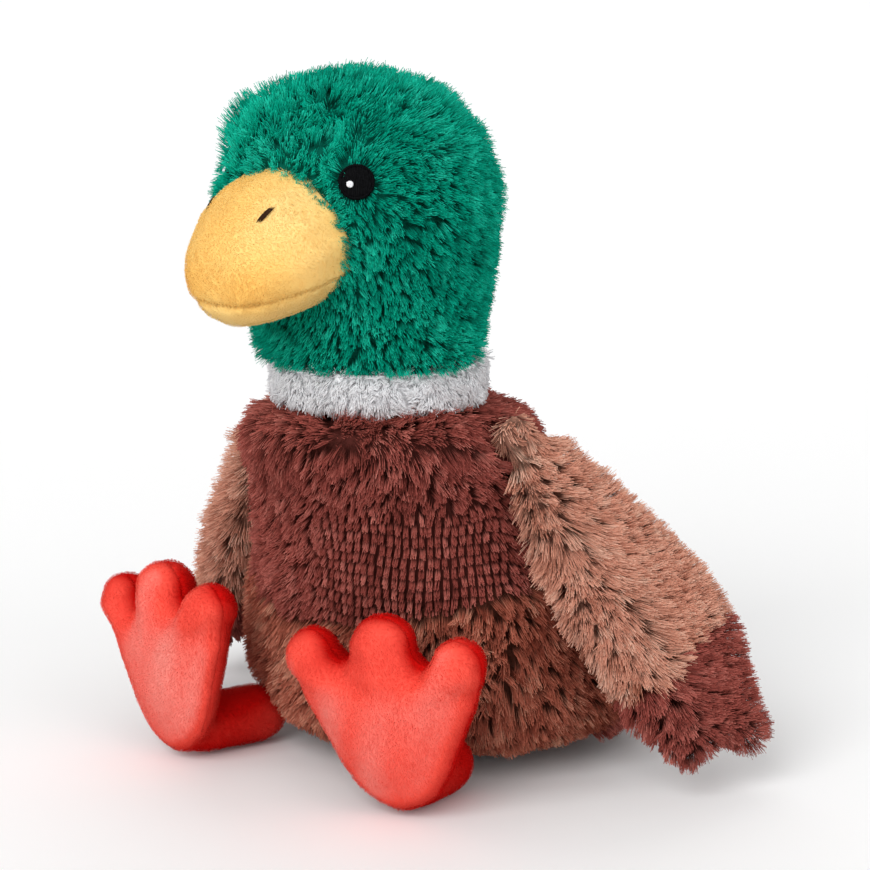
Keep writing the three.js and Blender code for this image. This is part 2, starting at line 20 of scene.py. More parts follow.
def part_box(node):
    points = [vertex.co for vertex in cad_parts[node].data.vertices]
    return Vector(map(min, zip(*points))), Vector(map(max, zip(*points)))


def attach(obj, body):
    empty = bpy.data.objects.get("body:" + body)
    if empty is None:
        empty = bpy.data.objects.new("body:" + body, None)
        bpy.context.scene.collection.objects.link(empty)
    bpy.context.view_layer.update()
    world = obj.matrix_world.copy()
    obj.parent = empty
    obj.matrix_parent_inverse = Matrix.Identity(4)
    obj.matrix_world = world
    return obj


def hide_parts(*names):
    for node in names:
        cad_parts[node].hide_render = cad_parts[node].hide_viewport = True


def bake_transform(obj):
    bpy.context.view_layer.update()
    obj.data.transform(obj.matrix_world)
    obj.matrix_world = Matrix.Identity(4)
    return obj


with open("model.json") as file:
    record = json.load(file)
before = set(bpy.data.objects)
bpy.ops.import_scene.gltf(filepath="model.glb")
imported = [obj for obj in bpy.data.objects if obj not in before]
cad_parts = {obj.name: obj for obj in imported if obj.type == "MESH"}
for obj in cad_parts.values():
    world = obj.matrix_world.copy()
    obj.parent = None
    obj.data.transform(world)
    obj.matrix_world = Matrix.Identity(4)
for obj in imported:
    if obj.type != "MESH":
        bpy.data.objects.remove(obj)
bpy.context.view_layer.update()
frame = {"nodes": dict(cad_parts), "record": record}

MM = 0.001
PHOTO_SIZE = 870  # pixels, both ways
rng = np.random.default_rng(12)
scene = bpy.context.scene


# Vectors in arrays, one row each

UP = np.array([0, 0, 1])
TINY = 1e-12  # stands in for a length of zero
WAVE_COUNT = 4  # sines that make up smooth noise


def unit(rows):
    return rows / np.maximum(np.linalg.norm(rows, axis=-1, keepdims=True), TINY)


def dot(a, b):
    return np.sum(a * b, axis=-1)


def distance(points, place):
    return np.linalg.norm(points - place, axis=1)


def fade(low, high, value):
    """0 below low, 1 above high, and smooth between them."""
    t = np.clip((value - low) / (high - low), 0, 1)
    return t * t * (3 - 2 * t)


def bump(value, width):
    """1 at zero, and falling off to both sides."""
    return np.exp(-((value / width) ** 2))


def waves(points, size, seed):
    """Smooth noise of about -1 to 1, one column for each direction."""
    draw = np.random.default_rng(seed)
    total = np.zeros_like(points)
    for _ in range(WAVE_COUNT):
        turns = draw.normal(size=(3, 3)) / size * 2
        total += np.sin(points @ turns + draw.uniform(0, 2 * math.pi, 3))
    return total / math.sqrt(WAVE_COUNT)


def means(groups, rows):
    """The mean row of each group."""
    counts = np.bincount(groups)[:, None]
    sums = [np.bincount(groups, rows[:, axis]) for axis in range(3)]
    return np.stack(sums, axis=1) / np.maximum(counts, 1)


# Meshes in arrays

SMOOTH_WEIGHTS = (0.5, -0.52)  # in, and then out a little further, which keeps the volume


class Skin:
    """Triangles with smooth normals, and the number of the panel that each triangle belongs to."""

    def __init__(self, points, triangles, panels=None):
        self.points = points
        self.triangles = triangles
        self.panels = np.zeros(len(triangles), int) if panels is None else panels
        corners = points[triangles]
        crosses = np.cross(corners[:, 1] - corners[:, 0], corners[:, 2] - corners[:, 0])
        self.areas = np.linalg.norm(crosses, axis=1) / 2
        normals = np.zeros_like(points)
        for corner in range(3):
            np.add.at(normals, triangles[:, corner], crosses)
        self.normals = unit(normals)

    def smoothed(self, rounds):
        """Evened out, at about the same volume."""
        points = self.points
        pairs = np.sort(self.triangles[:, [0, 1, 1, 2, 2, 0]].reshape(-1, 2), axis=1)
        edges = np.unique(pairs, axis=0)
        ends = np.concatenate([edges[:, 0], edges[:, 1]])
        others = np.concatenate([edges[:, 1], edges[:, 0]])
        for _ in range(rounds):
            for weight in SMOOTH_WEIGHTS:
                points = points + weight * (means(ends, points[others]) - points)
        return Skin(points, self.triangles, self.panels)

    def sunk(self, depth):
        """Moved inwards, by one depth or by one for each point."""
        depth = np.broadcast_to(depth, len(self.points))[:, None]
        return Skin(self.points - depth * self.normals, self.triangles, self.panels)

    def split(self, panels):
        return Skin(self.points, self.triangles, panels)

    def middles(self):
        return self.points[self.triangles].mean(axis=1)

    def panel(self, number):
        """One panel by itself, with the whole form's normals."""
        triangles = self.triangles[self.panels == number]
        used, renumbered = np.unique(triangles, return_inverse=True)
        part = Skin(self.points[used], renumbered.reshape(-1, 3))
        part.normals = self.normals[used]
        return part


def object_from(name, points, triangles):
    mesh = bpy.data.meshes.new(name)
    mesh.vertices.add(len(points))
    mesh.vertices.foreach_set("co", np.asarray(points, np.float32).ravel())
    mesh.loops.add(3 * len(triangles))
    mesh.loops.foreach_set("vertex_index", np.asarray(triangles, np.int32).ravel())
    mesh.polygons.add(len(triangles))
    mesh.polygons.foreach_set("loop_start", np.arange(0, 3 * len(triangles), 3, dtype=np.int32))
    mesh.update(calc_edges=True)
    mesh.shade_smooth()
    piece = bpy.data.objects.new(name, mesh)
    scene.collection.objects.link(piece)
    return piece


def skin_of(piece):
    """The mesh that a piece shows, modifiers included."""
    shown = piece.evaluated_get(bpy.context.evaluated_depsgraph_get())
    mesh = shown.to_mesh()
    mesh.calc_loop_triangles()
    points = np.zeros(3 * len(mesh.vertices), np.float32)
    mesh.vertices.foreach_get("co", points)
    triangles = np.zeros(3 * len(mesh.loop_triangles), np.int32)
    mesh.loop_triangles.foreach_get("vertices", triangles)
    shown.to_mesh_clear()
    return Skin(points.reshape(-1, 3).astype(float), triangles.reshape(-1, 3))


def joined(parts):
    """Points and triangles of several skins together."""
    starts = np.cumsum([0] + [len(part.points) for part in parts])
    points = np.concatenate([part.points for part in parts])
    triangles = np.concatenate([part.triangles + start for part, start in zip(parts, starts)])
    return points, triangles


def modified(skin, kind, **settings):
    """A skin after one of Blender's modifiers."""
    form = object_from("form", skin.points, skin.triangles)
    modifier = form.modifiers.new(kind, kind)
    for key, value in settings.items():
        setattr(modifier, key, value)
    result = skin_of(form)
    bpy.data.objects.remove(form)
    return result


def remeshed(parts, voxel):
    """One closed skin round several solids."""
    return modified(Skin(*joined(parts)), "REMESH", mode="VOXEL", voxel_size=voxel)


def subdivided(skin):
    return modified(skin, "SUBSURF", levels=1)


PUFF_FRAMES = 20
PUFF_PRESSURE = 4


def puffed(skin, cap):
    """A stuffed skin after a cloth simulation, in which no point moves further than the cap."""
    form = object_from("puffed", skin.points, skin.triangles)
    settings = form.modifiers.new("Cloth", "CLOTH").settings
    settings.use_pressure = True
    settings.uniform_pressure_force = PUFF_PRESSURE
    settings.effector_weights.gravity = 0
    for number in range(1, PUFF_FRAMES + 1):
        scene.frame_set(number)
    moves = skin_of(form).points - skin.points
    bpy.data.objects.remove(form)
    scene.frame_set(1)
    lengths = np.linalg.norm(moves, axis=1, keepdims=True)
    moves *= np.minimum(1, cap / np.maximum(lengths, TINY))
    return Skin(skin.points + moves, skin.triangles, skin.panels).smoothed(1)


def nodes(*names):
    return [skin_of(frame["nodes"][name]) for name in names]


def tree_of(skin):
    return BVHTree.FromPolygons(skin.points.tolist(), skin.triangles.tolist())


def labelled(skin, names):
    """The skin with each triangle given to the nearest of the CAD panels."""
    distances = []
    for part in nodes(*names):
        tree = tree_of(part)
        distances.append([tree.find_nearest(middle)[3] for middle in skin.middles().tolist()])
    return skin.split(np.argmin(distances, axis=0))


def shell(skin, thickness):
    """A closed sheet of cloth that lies under a skin."""
    count = len(skin.points)
    points = np.concatenate([skin.points, skin.points - thickness * skin.normals])
    sides = skin.triangles[:, [0, 1, 1, 2, 2, 0]].reshape(-1, 2)
    _, first, times = np.unique(np.sort(sides, axis=1), axis=0, return_index=True, return_counts=True)
    rim = sides[first[times == 1]]
    walls = np.concatenate([
        np.stack([rim[:, 1], rim[:, 0], rim[:, 0] + count], axis=1),
        np.stack([rim[:, 1], rim[:, 0] + count, rim[:, 1] + count], axis=1),
    ])
    return Skin(points, np.concatenate([skin.triangles, skin.triangles[:, ::-1] + count, walls]))


# Pile

@dataclass
class Pile:
    """How a plush is woven. Lengths are in metres and leans in degrees from the skin's normal."""

    length: float
    spacing: float
    lock: float  # distance between the locks that the fibres gather in
    pull: float  # how far the tips of a lock draw together
    lean: tuple  # at the root and at the tip
    width: float
    frizz: float = 0.3 * MM
    ruffle: float = 0.3  # how much the locks' directions vary
    mass: float = 0.3  # how far neighbouring locks draw together
    fleck: float = 1.0  # how much the fibres' shades vary


def even(points, normals):
    return np.ones(len(points))


def plain(points, normals):
    return np.zeros(len(points))


@dataclass
class Brush:
    """How a pile lies at each place: its direction, share of its length, lift, shade, locks and knots.

    A lift of 0 stands up, 1 has the pile's own lean and 2 lies flat.
    """

    flow: Callable
    trim: Callable = even
    lift: Callable = even
    tone: Callable = plain
    cells: Callable = None
    knots: Callable = plain  # how far the roots of a lock are drawn together
    clump: Callable = even  # share of the pile's pull


BALD = 0.08  # share of the length below which no hair grows
LOCKS_IN_MASS = 7
LOCK_SPREAD = 0.15  # how much the locks' lengths vary
HAIR_SPREAD = 0.35  # how much the hairs' lengths vary
LEAN_SPREAD = 8  # how much the leans vary, in degrees
LEAST_BEND = 1e-3  # radians between a hair's first lean and its last
WHORL_RISE = 0.85  # how far hairs stand up in a whorl
KNOT_ORDER = 3.5  # how much alike knotted hairs lie
SHORT_HAIR = 0.5  # share of the length below which hairs are thinner
LOWEST = np.array([-np.inf, -np.inf, 0.3 * MM])  # hairs stay this high over the floor
SPIKE = np.array([(2, 1, 0), (0, 1, 3), (1, 2, 3), (2, 0, 3)])  # a hair's triangles: its tip, then its sides
LOCK_FLECK = 0.15  # how much the locks' shades vary
HAIR_FLECK = 0.12  # how much the hairs' shades vary within a lock
SHADES = (0.02, 0.98)  # the part of the colour map that is used
HAIR_U = 0.012  # half the width of a hair on the colour map
CLOTH_U = 0.45  # the woven cloth's place on the colour map
CLOTH_U_SPAN = 0.1
# the cloth's V lies at the hairs' roots, so it takes their painted shadow
CLOTH_V = 0.03  # the woven cloth takes the colour of the hairs' roots


def scattered(skin, count):
    """Random places spread over a skin: points and normals."""
    share = np.cumsum(skin.areas) / skin.areas.sum()
    picks = np.searchsorted(share, (np.arange(count) + rng.random(count)) / count)
    picks = np.minimum(picks, len(share) - 1)
    a, b = rng.random((2, count))
    over = a + b > 1
    a, b = np.where(over, 1 - a, a), np.where(over, 1 - b, b)
    weights = np.stack([1 - a - b, a, b], axis=1)[:, :, None]
    corners = skin.triangles[picks]
    return (weights * skin.points[corners]).sum(axis=1), unit((weights * skin.normals[corners]).sum(axis=1))


def nearest(centres, points):
    tree = KDTree(len(centres))
    for number, centre in enumerate(centres.tolist()):
        tree.insert(centre, number)
    tree.balance()
    return np.array([tree.find(point)[1] for point in points.tolist()])


def gathered(skin, pile, brush, roots):
    """The number of the lock that each hair belongs to, with no number left out."""
    if brush.cells is not None:
        return np.unique(brush.cells(roots), axis=0, return_inverse=True)[1].ravel()
    centres, _ = scattered(skin, max(int(skin.areas.sum() / pile.lock ** 2), 1))
    owner = nearest(centres, roots)
    owner = np.unique(owner, return_inverse=True)[1]
    owner = nearest(means(owner, roots), roots)
    return np.unique(owner, return_inverse=True)[1]


def bent(normals, flows, lean):
    """From root to tip of hairs of length 1 that bend from a first lean to a last one."""
    start, end = np.radians(lean)
    bend = np.where(np.abs(end - start) < LEAST_BEND, LEAST_BEND, end - start)
    rise = (np.sin(start + bend) - np.sin(start)) / bend
    run = (np.cos(start) - np.cos(start + bend)) / bend
    return rise[:, None] * normals + run[:, None] * flows


def loose(brush, roots, normals):
    """How far the hairs differ from each other. Knotted hairs lie alike."""
    return 1 - KNOT_ORDER * brush.knots(roots, normals)


def hair_tips(pile, brush, roots, normals, spread, turns):
    """Tips and lengths of hairs. They stand up in the whorls, where the flow runs straight into the skin."""
    count = len(roots)
    wild = loose(brush, roots, normals)
    flows = brush.flow(roots, normals) + wild[:, None] * turns
    tangents = flows - dot(flows, normals)[:, None] * normals
    whorl = 1 - fade(0, 0.5, np.linalg.norm(tangents, axis=1) / np.linalg.norm(flows, axis=1))
    lengths = pile.length * brush.trim(roots, normals) * (1 + wild * spread * rng.uniform(-1, 1, count))
    lift = brush.lift(roots, normals) * (1 - WHORL_RISE * whorl)
    own, flatter = np.minimum(lift, 1), np.maximum(lift - 1, 0)
    jitter = LEAN_SPREAD * wild
    lean = [own * angle + flatter * (90 - angle) + jitter * rng.normal(size=count) for angle in pile.lean]
    return roots + lengths[:, None] * bent(normals, unit(tangents), lean), lengths


def combed(skin, pile, brush):
    """Points, triangles and UVs of the pile on a skin: fibres with blunt tips that narrow to the root.

    U is a fibre's shade and V runs from root to tip.
    """
    roots, normals = scattered(skin, int(skin.areas.sum() / pile.spacing ** 2))
    kept = brush.trim(roots, normals) > BALD
    roots, normals = roots[kept], normals[kept]
    count = len(roots)
    owner = gathered(skin, pile, brush, roots)
    middles, middle_normals = means(owner, roots), unit(means(owner, normals))
    wild = loose(brush, roots, normals)
    roots = roots + brush.knots(roots, normals)[:, None] * (middles[owner] - roots)

    turns = pile.ruffle * rng.normal(size=(len(middles), 3))
    locks, _ = hair_tips(pile, brush, middles, middle_normals, LOCK_SPREAD, turns)
    leader = nearest(middles[::LOCKS_IN_MASS], middles)
    locks += pile.mass * (locks[::LOCKS_IN_MASS][leader] - locks)
    tips, lengths = hair_tips(pile, brush, roots, normals, HAIR_SPREAD, turns[owner])
    tips += (pile.pull * brush.clump(roots, normals))[:, None] * (locks[owner] - tips)
    tips += pile.frizz * wild[:, None] * rng.normal(size=(count, 3))
    tips, bases = np.maximum(tips, LOWEST), np.maximum(roots, LOWEST)

    inwards = bases - tips
    sideways = unit(np.cross(inwards, normals))
    upwards = unit(np.cross(sideways, inwards))
    angles = rng.uniform(0, 2 * math.pi, (count, 1)) + np.array([0, 2, 4]) * math.pi / 3
    radius = pile.width / 2 * np.minimum(1, lengths / (SHORT_HAIR * pile.length))
    spokes = np.cos(angles)[:, :, None] * sideways[:, None] + np.sin(angles)[:, :, None] * upwards[:, None]
    rims = tips[:, None] + radius[:, None, None] * spokes
    points = np.concatenate([rims, bases[:, None]], axis=1)
    triangles = 4 * np.arange(count)[:, None, None] + SPIKE

    flecks = LOCK_FLECK * rng.normal(size=len(middles))[owner] + HAIR_FLECK * rng.normal(size=count)
    shade = np.clip(0.5 + pile.fleck * flecks + brush.tone(roots, normals), *SHADES)
    u = shade[:, None] + HAIR_U * np.array([-1, 0, 1, 0])
    v = np.broadcast_to([1, 1, 1, 0], (count, 4))
    return points.reshape(-1, 3), triangles.reshape(-1, 3), np.stack([u, v], axis=2).reshape(-1, 2)


def plush(name, skin, pile, brush, material, backing=1 * MM):
    """One piece: a panel's woven cloth and its pile."""
    cloth = shell(skin, backing)
    points, triangles, uvs = combed(skin, pile, brush)
    all_triangles = np.concatenate([cloth.triangles, triangles + len(cloth.points)])
    piece = object_from(name, np.concatenate([cloth.points, points]), all_triangles)
    spread = (cloth.points - cloth.points.min(axis=0)) / np.ptp(cloth.points, axis=0)
    shade = CLOTH_U + CLOTH_U_SPAN * spread[:, 0] + brush.tone(cloth.points, cloth.normals)
    cloth_uvs = np.stack([np.clip(shade, *SHADES), CLOTH_V * spread[:, 2]], axis=1)
    all_uvs = np.concatenate([cloth_uvs, uvs])
    layer = piece.data.uv_layers.new(name="OFBake")
    layer.uv.foreach_set("vector", all_uvs[all_triangles.ravel()].astype(np.float32).ravel())
    piece.data.materials.append(material)
    return piece


# Materials

SPECULAR = 0.05
SHEEN_ROUGHNESS = 0.4
PILE_ROUGHNESS = 0.8
HALF_SHADED = 0.6  # the place along a hair where half of the shadow at its root is gone


def colour(screen):
    """A colour as a screen shows it, 0 to 255, made linear."""
    rows = np.array(screen) / 255
    linear = np.where(rows <= 0.04045, rows / 12.92, ((rows + 0.055) / 1.055) ** 2.4)
    return (*linear.tolist(), 1.0)


def grey(level):
    return (level, level, level, 1.0)


def feed(tree, node, inputs):
    """Gives a node's inputs their values, or links them to the outputs of other nodes."""
    for key, value in inputs.items():
        if isinstance(value, bpy.types.NodeSocket):
            tree.links.new(value, node.inputs[key])
        else:
            node.inputs[key].default_value = value


def add_node(tree, kind, inputs, **settings):
    """The outputs of a new shader node."""
    node = tree.nodes.new("ShaderNode" + kind)
    for key, value in settings.items():
        setattr(node, key, value)
    feed(tree, node, inputs)
    return node.outputs


def new_material(name, roughness, sheen=0.0, sheen_colour=grey(1)):
    material = bpy.data.materials.new(name)
    material.use_nodes = True
    tree = material.node_tree
    shader = tree.nodes["Principled BSDF"]
    feed(tree, shader, {
        "Roughness": roughness,
        "Specular IOR Level": SPECULAR,
        "Sheen Weight": sheen,
        "Sheen Roughness": SHEEN_ROUGHNESS,
        "Sheen Tint": sheen_colour,
    })
    return material, tree, shader


def ramp(tree, source, stops):
    node = tree.nodes.new("ShaderNodeValToRGB")
    elements = node.color_ramp.elements
    while len(elements) < len(stops):
        elements.new(0.5)
    for element, (place, value) in zip(elements, stops):
        element.position = place
        element.color = value
    tree.links.new(source, node.inputs["Fac"])
    return node.outputs["Color"]


def pile_material(name, dark, usual, pale, root, sheen=0.06):
    """Plush: each hair has its own shade, and a painted shadow darkens it towards its root."""
    dark, usual, pale = colour(dark), colour(usual), colour(pale)
    material, tree, shader = new_material(name, PILE_ROUGHNESS, sheen, pale)
    uv = add_node(tree, "UVMap", {}, uv_map="OFBake")["UV"]
    split = add_node(tree, "SeparateXYZ", {"Vector": uv})
    shade = ramp(tree, split["X"], [(0.0, dark), (0.5, usual), (1.0, pale)])
    shadow = [(0.0, grey(root)), (HALF_SHADED, grey(0.5 + 0.5 * root)), (1.0, grey(1))]
    parts = {"Factor": 1, "A": shade, "B": ramp(tree, split["Y"], shadow)}
    mix = add_node(tree, "Mix", parts, data_type="RGBA", blend_type="MULTIPLY")
    feed(tree, shader, {"Base Color": mix["Result"]})
    return material


# dark, usual and pale shade, brightness of the painted shadow at the root, sheen
GREEN = pile_material("green_plush", (0, 120, 98), (0, 184, 152), (44, 224, 192), 0.2)
WHITE = pile_material("white_plush", (246, 246, 250), (253, 253, 255), (255, 255, 255), 1, 0)
DARK = pile_material("dark_plush", (118, 54, 46), (176, 90, 80), (222, 136, 122), 0.18)
TAN = pile_material("tan_plush", (176, 108, 84), (240, 174, 148), (253, 212, 188), 0.4)
# a darker copy of the tan plush, with a deeper root shadow: painted shade for the belly and seat under the
# wings and between the feet
SHADED_BELLY_TAN = pile_material("belly_plush", (138, 66, 50), (208, 120, 96), (248, 184, 154), 0.14)
# the red velour's dark shade is painted shade for the legs and creases, and its pale shade painted light for
# the soles
RED = pile_material("red_velour", (210, 4, 4), (254, 94, 78), (255, 178, 166), 1, 0)
YELLOW = pile_material("yellow_velour", (250, 184, 74), (254, 212, 126), (255, 230, 164), 1)


def grained_material(name, dark, pale, texture, scale, roughness, height):
    """A surface with two shades and a relief from one of Blender's textures."""
    material, tree, shader = new_material(name, roughness)
    place = add_node(tree, "TexCoord", {})["Object"]
    value = add_node(tree, texture, {"Vector": place, "Scale": scale})[0]
    shades = ramp(tree, value, [(0.2, colour(dark)), (0.8, colour(pale))])
    relief = add_node(tree, "Bump", {"Distance": height, "Height": value})
    feed(tree, shader, {"Base Color": shades, "Normal": relief["Normal"]})
    return material


NOISE = "TexNoise"
# dark and pale shade, texture and its scale, roughness, relief
BLACK_THREAD = grained_material("black_thread", (3, 3, 4), (16, 16, 18), NOISE, 900, 0.7, 0.1 * MM)
WHITE_THREAD = grained_material("white_thread", (225, 225, 230), (250, 250, 252), NOISE, 900, 0.5, 0.1 * MM)
BROWN_THREAD = grained_material("brown_thread", (34, 18, 10), (62, 38, 24), NOISE, 900, 0.5, 0.1 * MM)
FIBRE = grained_material("fibre", (222, 219, 210), (248, 246, 240), NOISE, 160, 1, 1 * MM)
COTTON = grained_material("cotton", (214, 202, 176), (238, 230, 212), NOISE, 700, 0.95, 0.3 * MM)
GRAIN = grained_material("grain", (150, 112, 56), (220, 186, 120), "TexVoronoi", 300, 0.8, 1 * MM)

# Camera, light and floor

CAMERA_AZIMUTH = 41
CAMERA_RISE = 12
CAMERA_DISTANCE = 1200 * MM
CAMERA_TARGET = Vector((-1.8, -1.6, 125)) * MM
PIXELS_PER_RADIAN = 3000
SENSOR_WIDTH = 36  # millimetres, like the lens


def direction(azimuth, rise):
    """Out from the duck, by degrees round from straight ahead to its left and degrees up."""
    a, e = math.radians(azimuth), math.radians(rise)
    return Vector((math.sin(a) * math.cos(e), -math.cos(a) * math.cos(e), math.sin(e)))


camera = bpy.data.objects.new("camera", bpy.data.cameras.new("camera"))
camera.data.sensor_width = SENSOR_WIDTH
camera.data.lens = SENSOR_WIDTH * PIXELS_PER_RADIAN / PHOTO_SIZE
back = direction(CAMERA_AZIMUTH, CAMERA_RISE)
camera.location = CAMERA_TARGET + CAMERA_DISTANCE * back
camera.rotation_euler = back.to_track_quat("Z", "Y").to_euler()
scene.collection.objects.link(camera)
scene.camera = camera
scene.view_settings.view_transform = "Standard"


def add_sun(name, azimuth, rise, softness, strength):
    sun = bpy.data.objects.new(name, bpy.data.lights.new(name, "SUN"))
    sun.data.angle = math.radians(softness)
    sun.data.energy = strength
    sun.rotation_euler = direction(azimuth, rise).to_track_quat("Z", "Y").to_euler()
    scene.collection.objects.link(sun)


add_sun("key", azimuth=15, rise=33, softness=40, strength=1.9)
add_sun("fill", azimuth=75, rise=14, softness=60, strength=0.8)
add_sun("back", azimuth=220, rise=35, softness=60, strength=0.6)


def seen_level(tree, hidden, shown):
    """A value that is one level for light on the object, and another where the background itself is seen."""
    path = add_node(tree, "LightPath", {})
    seen = path["Is Camera Ray"]
    for kind in ("Is Glossy Ray", "Is Transmission Ray"):
        seen = add_node(tree, "Math", {0: seen, 1: path[kind]}, operation="MAXIMUM")["Value"]
    return add_node(tree, "MapRange", {"Value": seen, "To Min": hidden, "To Max": shown})["Result"]


world = bpy.data.worlds.new("studio")
scene.world = world
world.use_nodes = True
sky_level = seen_level(world.node_tree, hidden=0.5, shown=1.0)
feed(world.node_tree, world.node_tree.nodes["Background"], {"Color": grey(1), "Strength": sky_level})

FLOOR_SIZE = 12  # metres
floor = object_from(
    "floor",
    np.array([(-1, -1, 0), (1, -1, 0), (1, 1, 0), (-1, 1, 0)]) * FLOOR_SIZE / 2,
    np.array([(0, 1, 2), (0, 2, 3)]),
)
floor_material, floor_tree, floor_shader = new_material("floor", roughness=0.9)
feed(floor_tree, floor_shader, {"Base Color": seen_level(floor_tree, hidden=0.7, shown=1.0)})
floor.data.materials.append(floor_material)

# Places that the pile is brushed from, some worked out from the CAD and some given

JOINTS = {joint["name"]: joint for joint in frame["record"]["behaviour"]["joints"]}
BILL_MIDDLE = np.array([0, -95, 213]) * MM
EYE_LEFT = np.array(sum(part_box("eye_left"), Vector()) / 2)
EYES = (EYE_LEFT, EYE_LEFT * (-1, 1, 1))
RIGHT_BROW = EYES[1] + 12 * MM * unit(BILL_MIDDLE - EYES[1])  # longer pile in front of the right eye
HEAD_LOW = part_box("head_left_panel")[0].z
HEAD_TUFT = np.array([-31, -76, 254]) * MM  # a corner of longer pile over the right eye
NECK_AXIS = np.array([0, -37, 0]) * MM
WING_ROOT = np.array(JOINTS["wing_left_flap"]["pos_m"])
WING_ACROSS = -np.array(JOINTS["wing_left_flap"]["axis"])
wing_middle = nodes("wing_left_stuffing")[0].points.mean(axis=0) - WING_ROOT
WING_LENGTH = unit(wing_middle - (wing_middle @ WING_ACROSS) * WING_ACROSS)
WING_FACE = np.cross(WING_LENGTH, WING_ACROSS)
WING_CREASE = -15 * MM  # the parting's place across the wing
SHOULDER_FLOW = np.array([0.8, -0.05, -0.55])  # away from the neck
NAPE = (-42 * MM, -15 * MM)  # the nape begins and is all there at these places along Y


def head_flow(points, normals):
    """Back over the crown, down the cheeks, away from the bill, the eyes and the parting over each eye."""
    top = fade(228 * MM, 258 * MM, points[:, 2])
    flow = np.stack([np.zeros(len(points)), 0.25 + 0.95 * top, -1 + 0.8 * top], axis=1)
    near_bill = 1 - fade(28 * MM, 50 * MM, distance(points, BILL_MIDDLE))
    flow += 1.3 * near_bill[:, None] * unit(points - BILL_MIDDLE)
    for eye in EYES:
        near_eye = 1 - fade(8 * MM, 26 * MM, distance(points, eye))
        beside_eye = 1 - fade(9 * MM, 14 * MM, distance(points, eye))
        behind = behind_eye(points, eye)
        flow += (2 * near_eye * behind + 3 * beside_eye)[:, None] * unit(points - eye)
        flow += 1.2 * (near_eye * (1 - behind))[:, None] * UP
        sides = np.tanh((points - eye) @ across_eye(eye) / (2 * MM))
        flow += 3 * (brow_parting(points, eye, 6 * MM) * sides)[:, None] * across_eye(eye)
    return flow + 0.45 * waves(points, 22 * MM, 3)


def behind_eye(points, eye):
    """1 behind an eye and 0 on its side towards the bill, where the pile is brushed up."""
    return fade(-4 * MM, 4 * MM, (points - eye)[:, 1])


def across_eye(eye):
    """Level along the side of the head at an eye."""
    return unit(np.cross(UP, (eye - NECK_AXIS) * (1, 1, 0)))


def brow_parting(points, eye, width):
    """1 on the short upright parting over an eye, which has a width, and 0 away from it."""
    away = points - eye
    near = 1 - fade(28 * MM, 36 * MM, np.linalg.norm(away, axis=1))
    return near * bump(away @ across_eye(eye), width) * bump(away[:, 2] - 12 * MM, 6 * MM)


def nape_rim(points):
    """1 on the head's lower edge from the sides to the back, where more of the collar shows."""
    _, y, z = points.T
    return (1 - fade(HEAD_LOW + 4 * MM, HEAD_LOW + 16 * MM, z)) * fade(*NAPE, y)


def head_trim(points, normals):
    """Longer before and over the right eye, shorter at the bill and the nape, and none on the eyes."""
    share = 0.92 + 0.14 * waves(points, 9 * MM, 4)[:, 0] + 0.4 * bump(distance(points, RIGHT_BROW), 8 * MM)
    for eye in EYES:
        share *= fade(6 * MM, 7.4 * MM, distance(points, eye))
        share *= 1 - 0.75 * brow_parting(points, eye, 2.2 * MM)
    share *= 0.7 + 0.3 * fade(33 * MM, 38 * MM, distance(points, BILL_MIDDLE))
    share *= 1 - 0.5 * nape_rim(points)
    share += 0.7 * bump(distance(points, HEAD_TUFT), 14 * MM)
    return share * (0.4 + 0.6 * fade(-0.75, -0.4, normals[:, 2]))


def head_lift(points, normals):
    """Upright low on the cheeks and before the right eye, and flat over the crown and beside the bill."""
    crown = fade(200 * MM, 252 * MM, points[:, 2])
    share = 0.45 + 0.65 * crown + 0.28 * (1 - 0.6 * crown) * waves(points, 11 * MM, 7)[:, 1]
    for eye in EYES:
        near_eye = 1 - fade(8 * MM, 24 * MM, distance(points, eye))
        share += 0.35 * near_eye * behind_eye(points, eye)
    share += 0.4 * (1 - fade(34 * MM, 50 * MM, distance(points, BILL_MIDDLE)))
    share *= 1 - 0.8 * bump(distance(points, RIGHT_BROW), 8 * MM)
    share *= 1 - 0.7 * bump(distance(points, HEAD_TUFT), 16 * MM)
    share += 0.3 * (1 - fade(HEAD_LOW, HEAD_LOW + 12 * MM, points[:, 2]))
    return share * (1 - 0.4 * nape_rim(points))


def head_clump(points, normals):
    """Weaker locks on the crown."""
    return 1 - 0.8 * fade(225 * MM, 255 * MM, points[:, 2])


def head_tone(points, normals):
    """Soft blotches."""
    return 0.12 * waves(points, 10 * MM, 23)[:, 0]


def body_flow(points, normals):
    """Down all round, out from the collar on the shoulders, and to the back under the seat."""
    top = fade(0.3, 0.8, normals[:, 2])
    flow = 1.2 * top[:, None] * unit((points - NECK_AXIS) * (1, 1, 0)) - UP
    flow[:, 1] += fade(0.4, 0.9, -normals[:, 2])
    return flow + 0.45 * waves(points, 24 * MM, 5)


def body_lift(points, normals):
    """Flat over the shoulders."""
    return 0.9 + 0.3 * waves(points, 22 * MM, 11)[:, 0] + 0.65 * fade(0.05, 0.4, normals[:, 2])


def neck_flow(points, normals):
    return 0.45 * waves(points, 10 * MM, 6) - UP


def neck_trim(points, normals):
    """Pile on the upright face and its edges."""
    return 1 - fade(32 * MM, 26 * MM, distance(points * (1, 1, 0), NECK_AXIS))


GRID_ACROSS = 3.3 * MM
GRID_UP = 4.2 * MM
GRID_RADIUS = 64 * MM
GRID_MIDDLE = np.array([0, -15, 0]) * MM
GRID_AZIMUTH = 38  # degrees round to the duck's left


def round_chest(points):
    """Angles round from straight ahead to the duck's left, in radians."""
    away = points - GRID_MIDDLE
    return np.arctan2(away[:, 0], -away[:, 1])


def grid_strength(points):
    """How far the weave's rows show through the pile: on the front of the chest, above the bib's edge."""
    angle = np.degrees(round_chest(points))
    return (1 - fade(28, 48, np.abs(angle - GRID_AZIMUTH))) * (1 - fade(104 * MM, 126 * MM, points[:, 2]))


